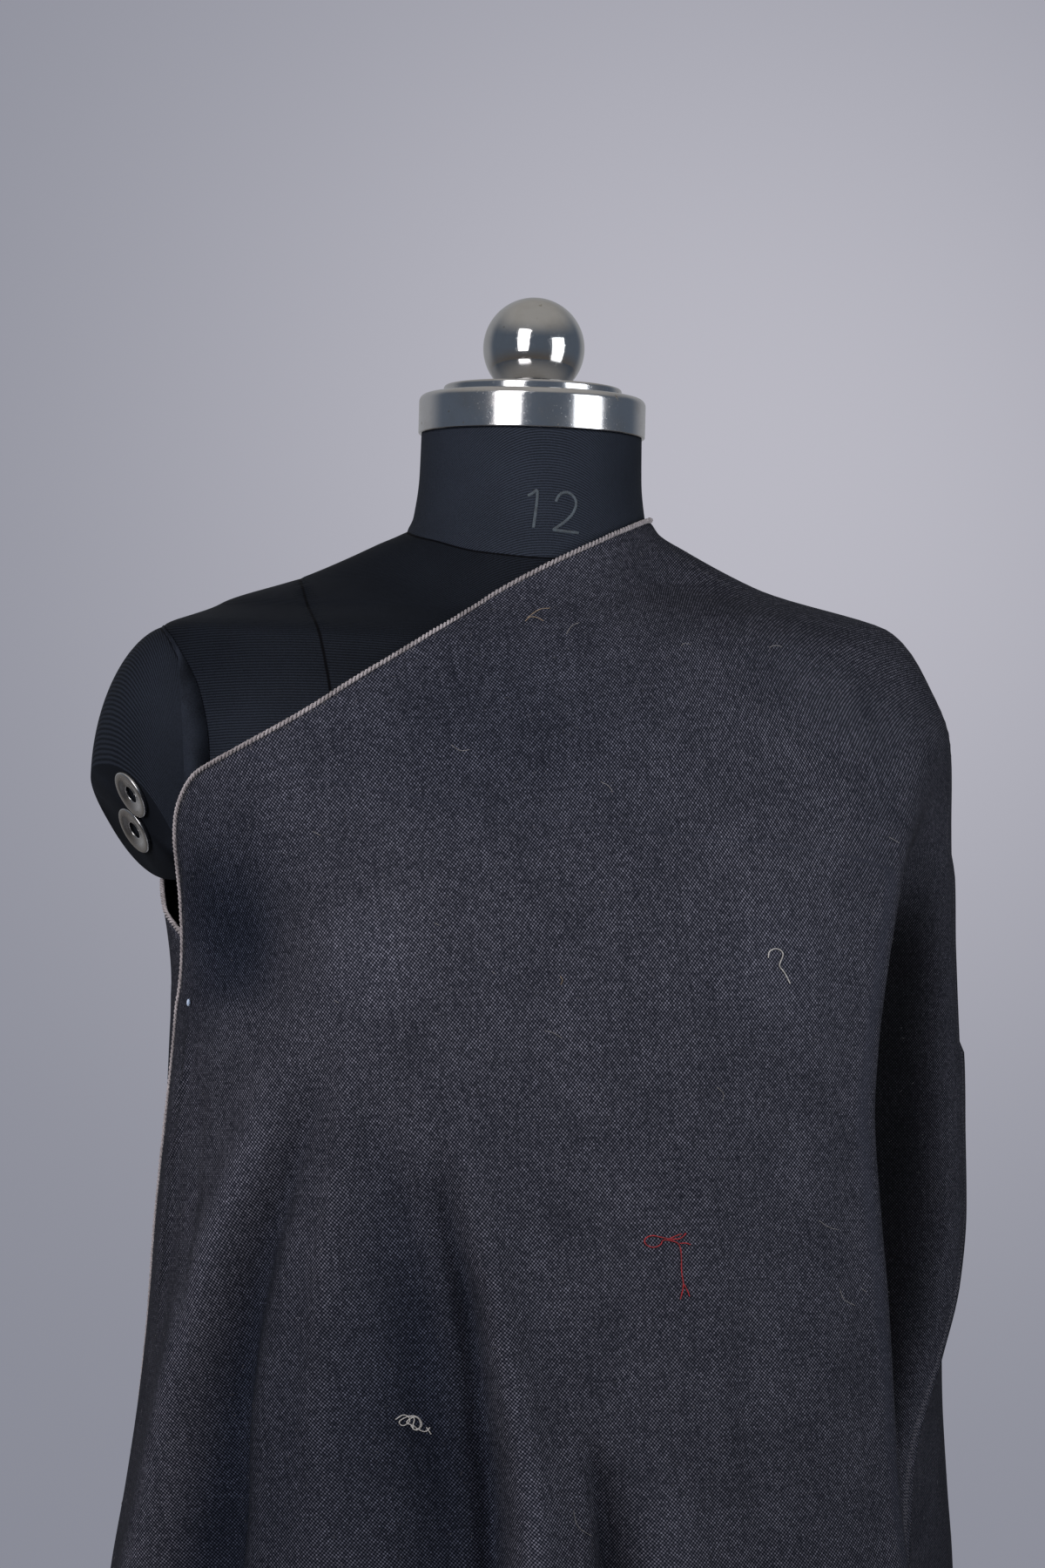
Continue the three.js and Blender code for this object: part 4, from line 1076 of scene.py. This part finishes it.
def warpUv(points, angle, height, w):
    # lays the flat cloth's two directions on the sheet: the fit, by conjugate gradients, of two numbers for
    # each point whose steps along every edge match the edge's part along the warp and across it
    e1 = unit(np.gradient(points, axis=1))
    down = np.gradient(points, axis=0)
    up = -squareTo(e1, down)
    high = smooth((height - w["lowAt"]) / (w["highAt"] - w["lowAt"]))
    first = w["turnLow"][0] + (w["turnHigh"][0] - w["turnLow"][0]) * high
    last = w["turnLow"][1] + (w["turnHigh"][1] - w["turnLow"][1]) * high
    turn = np.radians(w["slant"] + 90 * (1 - 2 * smooth((angle - first) / (last - first))))[..., None]
    warp = np.cos(turn) * e1 + np.sin(turn) * up
    weft = np.sin(turn) * e1 - np.cos(turn) * up
    steps = []
    for axis in (1, 0):
        edge = np.diff(points, axis=axis)
        middle = [(f.take(range(1, f.shape[axis]), axis) + f.take(range(f.shape[axis] - 1), axis)) / 2
                  for f in (weft, warp)]
        wanted = np.stack([(edge * m).sum(-1) for m in middle], axis=-1)
        length = np.linalg.norm(edge, axis=-1, keepdims=True)
        steps.append((wanted, length))
    weights = [np.clip(w["evenStep"] / length, 0.2, 8) for wanted, length in steps]
    weights[0][height[:, 0] < w["partBelow"], w["partColumn"]] = 0.0

    def spread(h, v):
        # adds each weighted edge step to the points at its two ends, with opposite signs
        total = np.zeros(points.shape[:2] + (2,))
        total[:, 1:] += h
        total[:, :-1] -= h
        total[1:] += v
        total[:-1] -= v
        return total

    def system(x):
        return spread(weights[0] * np.diff(x, axis=1), weights[1] * np.diff(x, axis=0)) + w["hold"] * x

    goal = spread(weights[0] * steps[0][0], weights[1] * steps[1][0])
    diagonal = np.full(points.shape[:2] + (2,), w["hold"])
    diagonal[:, 1:] += weights[0]
    diagonal[:, :-1] += weights[0]
    diagonal[1:] += weights[1]
    diagonal[:-1] += weights[1]
    x = np.zeros_like(goal)
    rest = goal - system(x)
    z = rest / diagonal
    p = z.copy()
    rz = (rest * z).sum((0, 1))
    for _ in range(w["steps"]):
        q = system(p)
        a = rz / (p * q).sum((0, 1))
        x += a * p
        rest -= a * q
        z = rest / diagonal
        fresh = (rest * z).sum((0, 1))
        p = z + fresh / rz * p
        rz = fresh
    return x * mm


# how much the pin's hollow counts toward painted shade and the bust's pull toward painted highlight in the
# fold mark, and where the other marks fade out
markSet = {"hollow": 0.8, "bust": 1.4, "insideTop": 1262, "insideRun": 90, "ridgeTop": 1225, "ridgeRun": 60,
           "ridgeFar": 400, "rollRun": 20, "rollFar": 20}


def makeStole(m):
    # the sheet, with the distances and depths that its material reads as marks
    angle, height = sheetGrid()
    points = clothPoint(angle, height)
    uv = warpUv(points, angle, height, warpSet)
    crest = valueAt(sideFold, "crest", height)
    radius = np.linalg.norm(points[..., :2], axis=-1)
    roll = (angle - crest) * degree * radius + crestRoll["stitchInside"]
    far = smooth((crestRoll["top"] - height) / crestRoll["topFade"])
    far = 1 - far * smooth((height - crestRoll["low"]) / m["rollRun"])
    valley = valueAt(sideFold, "valley", height)
    ridge = valueAt(sideFold, "ridge", height)
    # where the deep side fold gets its painted shade
    inside = smooth((angle - ridge) / (valley - ridge) * 1.6 - 0.25)
    inside = inside * smooth((crest - angle) / (crest - valley) * 1.5)
    inside = inside * smooth((m["insideTop"] - height) / m["insideRun"])
    # distance from the ridge, where the material paints its sheen
    beside = (angle - ridge) * degree * radius
    beside = beside + m["ridgeFar"] * smooth((height - m["ridgeTop"]) / m["ridgeRun"])
    # the fold mark: the material paints shade where it is low and a highlight where it is high; the painted
    # shade patches are taken off it
    fold = softFoldDepth(angle, height) - m["hollow"] * pinHollowDepth(angle, height)
    fold = fold + m["bust"] * moundSum(bustPull, angle, height) - moundSum(paintedShadePatches, angle, height)
    marks = {"rollLine": (roll + m["rollFar"] * far) * mm, "rollRun": height * mm,
             "ridgeLine": beside * mm, "inFold": inside, "fold": fold * mm}
    faces = gridFaces(*points.shape[:2], False)[:, ::-1]
    piece = makePiece("stole_sheet", points.reshape(-1, 3), faces, uv.reshape(-1, 2), marks)
    shell = piece.modifiers.new("wall", "SOLIDIFY")
    shell.thickness = sheetSize["wall"] * mm
    shell.offset = 0
    return piece


stole = makeStole(markSet)
finishPiece(stole, stoleCloth, ["stole_front", "stole_side", "stole_back"])
print("stole draped")

# the light edge: two strands laid round each other, carried along the edge of the cloth
edgeCord = {"out": 1.3, "proud": 0.3, "strand": 0.66, "twist": 0.78, "pitch": 4.6, "step": 0.55, "sides": 6,
            "samples": 2400, "bunch": 2.2, "wander": ((0.12, 37), (0.1, 11.3)),
            "uneven": 0.12, "unevenTurn": 1.7}


def evenly(path, step, values):
    # values given along a path, read again at points a step apart
    along = distanceAlong(path)
    at = np.arange(0, along[-1], step)
    return np.stack([np.interp(at, along, column) for column in values.T], axis=1)


def strandPieces(name, path, normal, c):
    # each strand circles the path at a small radius, a full turn in each pitch
    along = unit(np.gradient(path, axis=0))
    normal = squareTo(along, normal)
    side = np.cross(along, normal)
    run = distanceAlong(path)
    wander = sum(size * np.sin(run / length) for size, length in c["wander"])
    pieces = []
    for k in range(2):
        turn = 2 * np.pi * run / c["pitch"] + np.pi * k
        centre = path + c["twist"] * (np.cos(turn)[:, None] * side + np.sin(turn)[:, None] * normal)
        centre = centre + wander[:, None] * normal
        radius = c["strand"] * (1 + c["uneven"] * np.sin(run * c["unevenTurn"] + k))
        rings = tubeRings(centre, normal, radius, c["sides"])
        pieces.append(roundPiece(name + str(k), rings))
    return joinPieces(name, pieces)


def edgePath(route, outward, c):
    # just outside the sheet's edge, with its samples bunched near the top, then a step apart
    lowest = valueAt(hem, "height", route["angle"][0])
    topHeight = route["height"][-1]
    share = np.linspace(0, 1, c["samples"])
    height = topHeight - (topHeight - lowest) * share ** c["bunch"]
    angle = valueAt(route, "angle", height)
    points = clothPoint(angle, height)
    normal = clothNormal(angle, height)
    along = unit(np.gradient(points, axis=0))
    out = unit(np.cross(along, normal)) * outward
    path = points + out * c["out"] + normal * c["proud"]
    return evenly(path, c["step"], path), evenly(path, c["step"], normal)


for name, route, outward, node in (("front_light_edge", frontRoute, 1, "selvedge_front"),
                                   ("back_light_edge", backRoute, -1, "selvedge_back")):
    path, normal = edgePath(route, outward, edgeCord)
    finishPiece(strandPieces(name, path, normal, edgeCord), lightEdge, [node])
print("light edges sewn")


pinSet = {"angle": -74.5, "height": 1151, "proud": 1.9, "radius": 0.95, "half": 1.9,
          "glass": (0.36, 0.5, 0.75, 1), "cloud": (0.6, 0.7, 0.86, 1)}


def makePin(p):
    # an oval bead: level rings, radius by the cosine and height by the sine of the angle from its middle
    out = clothNormal(p["angle"], p["height"])
    centre = clothPoint(p["angle"], p["height"]) + out * p["proud"]
    steps = np.linspace(-np.pi / 2, np.pi / 2, 15)[1:-1, None]
    turn = np.arange(24)[None, :] * 2 * np.pi / 24
    level = p["radius"] * np.cos(steps)
    rings = np.broadcast_arrays(level * np.cos(turn), level * np.sin(turn), p["half"] * np.sin(steps))
    material, tree, shader = newMaterial("pin bead", {"Roughness": 0.18, "Coat Weight": 0.5})
    cloud = ramp(noise(objectSpace(tree), 400.0), 0.3, 0.7)
    blendColour(cloud, p["glass"], p["cloud"]).into(shader["Base Color"])
    bead = roundPiece("pin_bead", centre + np.stack(rings, axis=-1))
    return finishPiece(bead, material, ["side_pin"])


pin = makePin(pinSet)

sizeNumber = {
    "strokes": [
        [(-9.6, 1412.1), (-7, 1413.5), (-4.7, 1416), (-5.4, 1406), (-6.6, 1395.8)],
        [(4.1, 1409.5), (5.5, 1412.8), (8, 1414.6), (11.5, 1414.3), (14.3, 1411.5), (14.6, 1408),
         (12.5, 1403.5), (8, 1399), (3.2, 1395.6), (2.6, 1394.9), (8, 1394.6), (14.8, 1394)],
    ],
    "pen": 0.85, "proud": 0.15, "colour": (0.075, 0.096, 0.118, 1),
}
# loose threads caught on the cloth: thickness and the angle and height of the points each passes
looseThreads = {
    "red_thread": {"thick": 0.6, "colour": (0.42, 0.012, 0.022, 1), "runs": [
        [(24.4, 1049), (23.5, 1046.3), (22, 1046), (20, 1047), (18.3, 1048.2), (16.9, 1046.5), (17, 1043.5),
         (18.6, 1041.8), (20, 1043.5), (20.2, 1046), (21.8, 1045.5), (23.3, 1044), (23.6, 1038),
         (23.5, 1030), (24, 1024), (23.3, 1017)], [(21, 1045.8), (22.6, 1047.8), (23.6, 1048.6)],
        [(23.8, 1025), (24.6, 1021), (24.9, 1018.5)], [(23.3, 1044), (24.4, 1044.4), (25.2, 1043.4)]]},
    "white_lint": {"thick": 0.6, "colour": (0.62, 0.60, 0.58, 1), "runs": [
        [(38.6, 1183.5), (38.8, 1187), (40.2, 1188.4), (41.2, 1186), (40.6, 1182), (40.2, 1179.5),
         (41, 1177), (41.9, 1171)],
        [(-28.9, 956.5), (-27.6, 959.4), (-26.4, 955.8), (-27.8, 952.8), (-28.6, 956), (-26, 959),
         (-24.4, 954.2), (-25.6, 950.1), (-26.9, 954.8), (-24.2, 949.5), (-23.2, 952.5)],
        [(-27.2, 958), (-25.2, 957.4), (-24.8, 952.1), (-26.4, 950.9), (-25.8, 958.4), (-27.6, 955),
         (-25.9, 953.2)], [(-23.9, 952.5), (-23, 949.2)]]},
    "pale_hairs": {"thick": 0.22, "colour": (0.36, 0.34, 0.33, 1), "runs": [
        [(4.2, 1341), (6, 1345.4), (8.8, 1347)], [(54.5, 1338), (55.8, 1339.4), (56.8, 1338.6)],
        [(36.5, 1337), (37.6, 1338.6), (39, 1338)], [(-2.8, 1146.4), (-1, 1145.6), (0.6, 1143)],
        [(-13.6, 1174.6), (-12.9, 1173.4)], [(-41, 1158.4), (-40.2, 1157.4)],
        [(-24.8, 1197.3), (-24, 1196.2)], [(54, 1019), (54.8, 1017.2)],
        [(49.8, 1020), (50.4, 1014), (52.6, 1011)], [(-93, 889), (-95, 886), (-97, 889)],
        [(-60, 902), (-57.6, 904), (-56.4, 911)], [(4, 916), (4.6, 908), (7.6, 903)],
        [(-25, 1284), (-23, 1281), (-21, 1282)], [(46.6, 1054), (48.4, 1050), (50, 1049)],
        [(30, 1120), (31.4, 1117), (31, 1113)], [(62, 1244), (63.6, 1241)], [(-48, 1240), (-46.4, 1238)],
        [(10, 1268), (12, 1266), (12.6, 1263)], [(150, 1180), (153, 1176), (154, 1170)],
        [(190, 1090), (192, 1084), (196, 1083)], [(214, 1230), (216, 1226), (215, 1221)],
        [(172, 1290), (175, 1287)]]},
    "tan_hairs": {"thick": 0.32, "colour": (0.42, 0.31, 0.21, 1), "runs": [
        [(-9, 1347), (-7, 1350.5), (-4, 1353.6), (-0.5, 1354)],
        [(-8.4, 1349), (-5.6, 1349.4), (-3, 1347.4)], [(0.1, 1173), (0.7, 1171), (0.2, 1168.8)]]},
}
nap = {"count": 3400, "edgeCount": 900, "seed": 12, "short": 1.2, "long": 3.6, "thick": 0.045, "lift": 0.38,
       "heights": (500, 1403), "angles": (-102, 275), "edgeHeights": (860, 1402),
       "colour": (0.30, 0.29, 0.31, 1)}


def roundedRun(points, rounds=3):
    # corners cut at a quarter and three quarters of each stretch, three times over
    points = np.asarray(points, float)
    for _ in range(rounds):
        a, b = points[:-1], points[1:]
        cut = np.stack([0.75 * a + 0.25 * b, 0.25 * a + 0.75 * b], axis=1).reshape(-1, 2)
        points = np.concatenate([points[:1], cut, points[-1:]])
    return points


def threadPiece(name, run, place, facing, lift, radius, sides):
    # a thin tube that lies on a surface along a rounded run of angles and heights
    angle, height = roundedRun(run).T
    out = facing(angle, height)
    return roundPiece(name, tubeRings(place(angle, height) + out * lift, out, radius, sides))


def formNormal(angle, height):
    return surfaceNormal(formPoint, angle, height)


def makeNumber(n):
    lift = n["proud"] - n["pen"] / 2
    pieces = [threadPiece("stroke" + str(i), run, formPoint, formNormal, lift, n["pen"], 8)
              for i, run in enumerate(n["strokes"])]
    finishPiece(joinPieces("size_number", pieces), fibreMaterial("size number", n["colour"]), [])


def makeThreads(name, kind):
    lift = sheetSize["wall"] / 2 + kind["thick"] * 0.6
    pieces = [threadPiece(name + str(i), run, clothPoint, clothNormal, lift, kind["thick"] / 2, 6)
              for i, run in enumerate(kind["runs"])]
    material = fibreMaterial(name.replace("_", " "), kind["colour"])
    finishPiece(joinPieces(name, pieces), material, [])


def hairMesh(name, root, along, bend, length, radius):
    # each hair is a bent spindle: a point, two rings of three and a point, all hairs worked out together
    t = np.array([0, 0.35, 0.7, 1.0])[None, :, None]
    centre = root[:, None] + length[:, None, None] * (along[:, None] * t + bend[:, None] * t * t)
    side = unit(np.cross(along, bend))
    up = np.cross(along, side)
    turn = np.arange(3) * 2 * np.pi / 3
    ring = np.cos(turn)[:, None] * side[:, None] + np.sin(turn)[:, None] * up[:, None]
    rings = centre[:, 1:3, None] + radius * ring[:, None]
    points = np.concatenate([centre[:, :1], rings.reshape(len(root), 6, 3), centre[:, 3:]], axis=1)
    k = np.arange(3)
    k2 = (k + 1) % 3
    start = np.arange(len(root))[:, None, None] * 8
    sides = (start + np.stack([1 + k, 1 + k2, 4 + k2, 4 + k], axis=1)[None]).reshape(-1, 4)
    caps = [np.stack([0 * k, 1 + k2, 1 + k], axis=1), np.stack([0 * k + 7, 4 + k, 4 + k2], axis=1)]
    caps = (start + np.concatenate(caps)[None]).reshape(-1, 3)
    return makePiece(name, points.reshape(-1, 3), list(sides) + list(caps))


def makeNap(n):
    # stray fibres all over the cloth, and more along the light front edge
    draw = np.random.default_rng(n["seed"])
    height = draw.uniform(*n["heights"], n["count"] * 2)
    angle = draw.uniform(*n["angles"], n["count"] * 2)
    front = valueAt(frontRoute, "angle", height) + 1
    back = valueAt(backRoute, "angle", height) - 1
    keep = (angle > front) & (angle < back) & (height > valueAt(hem, "height", angle) + 4)
    angle, height = angle[keep][:n["count"]], height[keep][:n["count"]]
    edgeHeight = draw.uniform(*n["edgeHeights"], n["edgeCount"])
    edgeAngle = valueAt(frontRoute, "angle", edgeHeight) + draw.uniform(-0.3, 0.8, n["edgeCount"])
    angle, height = np.concatenate([angle, edgeAngle]), np.concatenate([height, edgeHeight])
    out = clothNormal(angle, height)
    turn = draw.uniform(0, 2 * np.pi, len(angle))[:, None]
    level = unit(np.cross(np.array([0, 0, 1.0]), out))
    steep = np.cross(out, level)
    flat = np.cos(turn) * level + np.sin(turn) * steep
    along = unit(flat + out * n["lift"] * draw.uniform(0.2, 1.6, len(angle))[:, None])
    bend = unit(np.cross(out, flat) * draw.uniform(-0.6, 0.6, len(angle))[:, None] - out * 0.2) * 0.4
    length = draw.uniform(n["short"], n["long"], len(angle))
    root = clothPoint(angle, height) + out * sheetSize["wall"] * 0.45
    piece = hairMesh("stray_nap", root, along, bend, length, n["thick"])
    finishPiece(piece, fibreMaterial("nap fibre", n["colour"]), [])


makeNumber(sizeNumber)
for name, kind in looseThreads.items():
    makeThreads(name, kind)
makeNap(nap)
print("number, threads and nap laid")


surround = {
    "glowToward": (0.206, 0.975, 0.08), "spread": 0.125,
    "glow": (0.49, 0.485, 0.545, 1), "plain": (0.247, 0.255, 0.305, 1),
    "high": (0.42, 0.405, 0.385, 1), "level": (0.34, 0.345, 0.36, 1), "low": (0.11, 0.098, 0.088, 1),
    "windowWall": (0.105, 0.127, 0.162, 1),
    "fill": (0.012, 0.0125, 0.016, 1),
    "strength": 1.0,
}


def makeWorld(w):
    # the wall behind is a soft glow about one direction; other rays meet a plain graded room
    world = bpy.data.worlds.new("room")
    scene.world = world
    world.use_nodes = True
    tree = world.node_tree
    tree.nodes.clear()
    toward = addNode(tree, "ShaderNodeTexCoord")["Generated"]
    away = vectorMath(toward, "DISTANCE", w["glowToward"], 1)
    fade = (away * away * (-0.5 / w["spread"] ** 2)).math("EXPONENT")
    wall = blendColour(fade, w["plain"], w["glow"])
    parts = addNode(tree, "ShaderNodeSeparateXYZ", {0: toward})
    level = blendColour(ramp(parts[1], 0.8, 0.35), w["level"], w["windowWall"])
    room = blendColour(ramp(parts[2], 0.35, 0.9), level, w["high"])
    room = blendColour(ramp(parts[2], 0.0, -0.5), room, w["low"])
    path = addNode(tree, "ShaderNodeLightPath")
    room = blendColour(path["Is Diffuse Ray"], room, w["fill"])
    shown = blendColour(path["Is Camera Ray"], room, wall)
    back = addNode(tree, "ShaderNodeBackground", {"Color": shown, "Strength": w["strength"]})[0]
    back.into(tree.nodes.new("ShaderNodeOutputWorld").inputs[0])


floorSet = {"radius": 2600.0, "top": -0.5, "bottom": -20.0,
            "dark": (0.60, 0.60, 0.62, 1), "light": (0.66, 0.66, 0.68, 1)}


def makeFloor(f):
    material, tree, shader = newMaterial("floor", {"Roughness": 0.8})
    tone = ramp(noise(objectSpace(tree), 3.0, 3.0), 0.3, 0.7)
    blendColour(tone, f["dark"], f["light"]).into(shader["Base Color"])
    profile = [(0.01, f["bottom"]), (f["radius"], f["bottom"]), (f["radius"], f["top"]), (0.01, f["top"])]
    floor = turnedPiece("floor", profile, 96)
    floor.data.materials.append(material)


lights = {
    # place, aim, width and height in metres, power in watts, colour, whether bright metal mirrors it
    "window": ((-0.55, -0.87, 1.70), (0.0, -0.05, 1.30), (0.48, 0.95), 6.0, (1.0, 0.975, 0.98), True),
    "left": ((-1.45, -0.50, 1.52), (0.0, -0.05, 1.20), (0.50, 0.80), 10, (1.0, 0.98, 0.99), False),
    "side": ((0.69, -0.61, 1.40), (0.0, -0.05, 1.30), (0.48, 0.80), 4.6, (0.95, 0.97, 1.0), True),
    "top": ((0.6, 1.6, 2.6), (0.0, 0.0, 1.2), (1.2, 1.2), 3, (0.95, 0.97, 1.0), False),
    "behind": ((0.7, 2.1, 1.5), (0.0, 0.1, 1.1), (1.0, 1.4), 22, (0.97, 0.98, 1.0), False),
}


def makeLight(name, at, aim, size, power, colour, mirrored):
    data = bpy.data.lights.new(name, "AREA")
    data.shape = "RECTANGLE"
    data.size, data.size_y = size
    data.energy = power
    data.color = colour
    light = bpy.data.objects.new(name, data)
    light.location = at
    light.rotation_euler = (Vector(at) - Vector(aim)).to_track_quat("Z", "Y").to_euler()
    light.visible_glossy = mirrored
    light.visible_camera = False
    scene.collection.objects.link(light)


makeWorld(surround)
makeFloor(floorSet)
for name, lightSet in lights.items():
    makeLight(name, *lightSet)
print("lit")
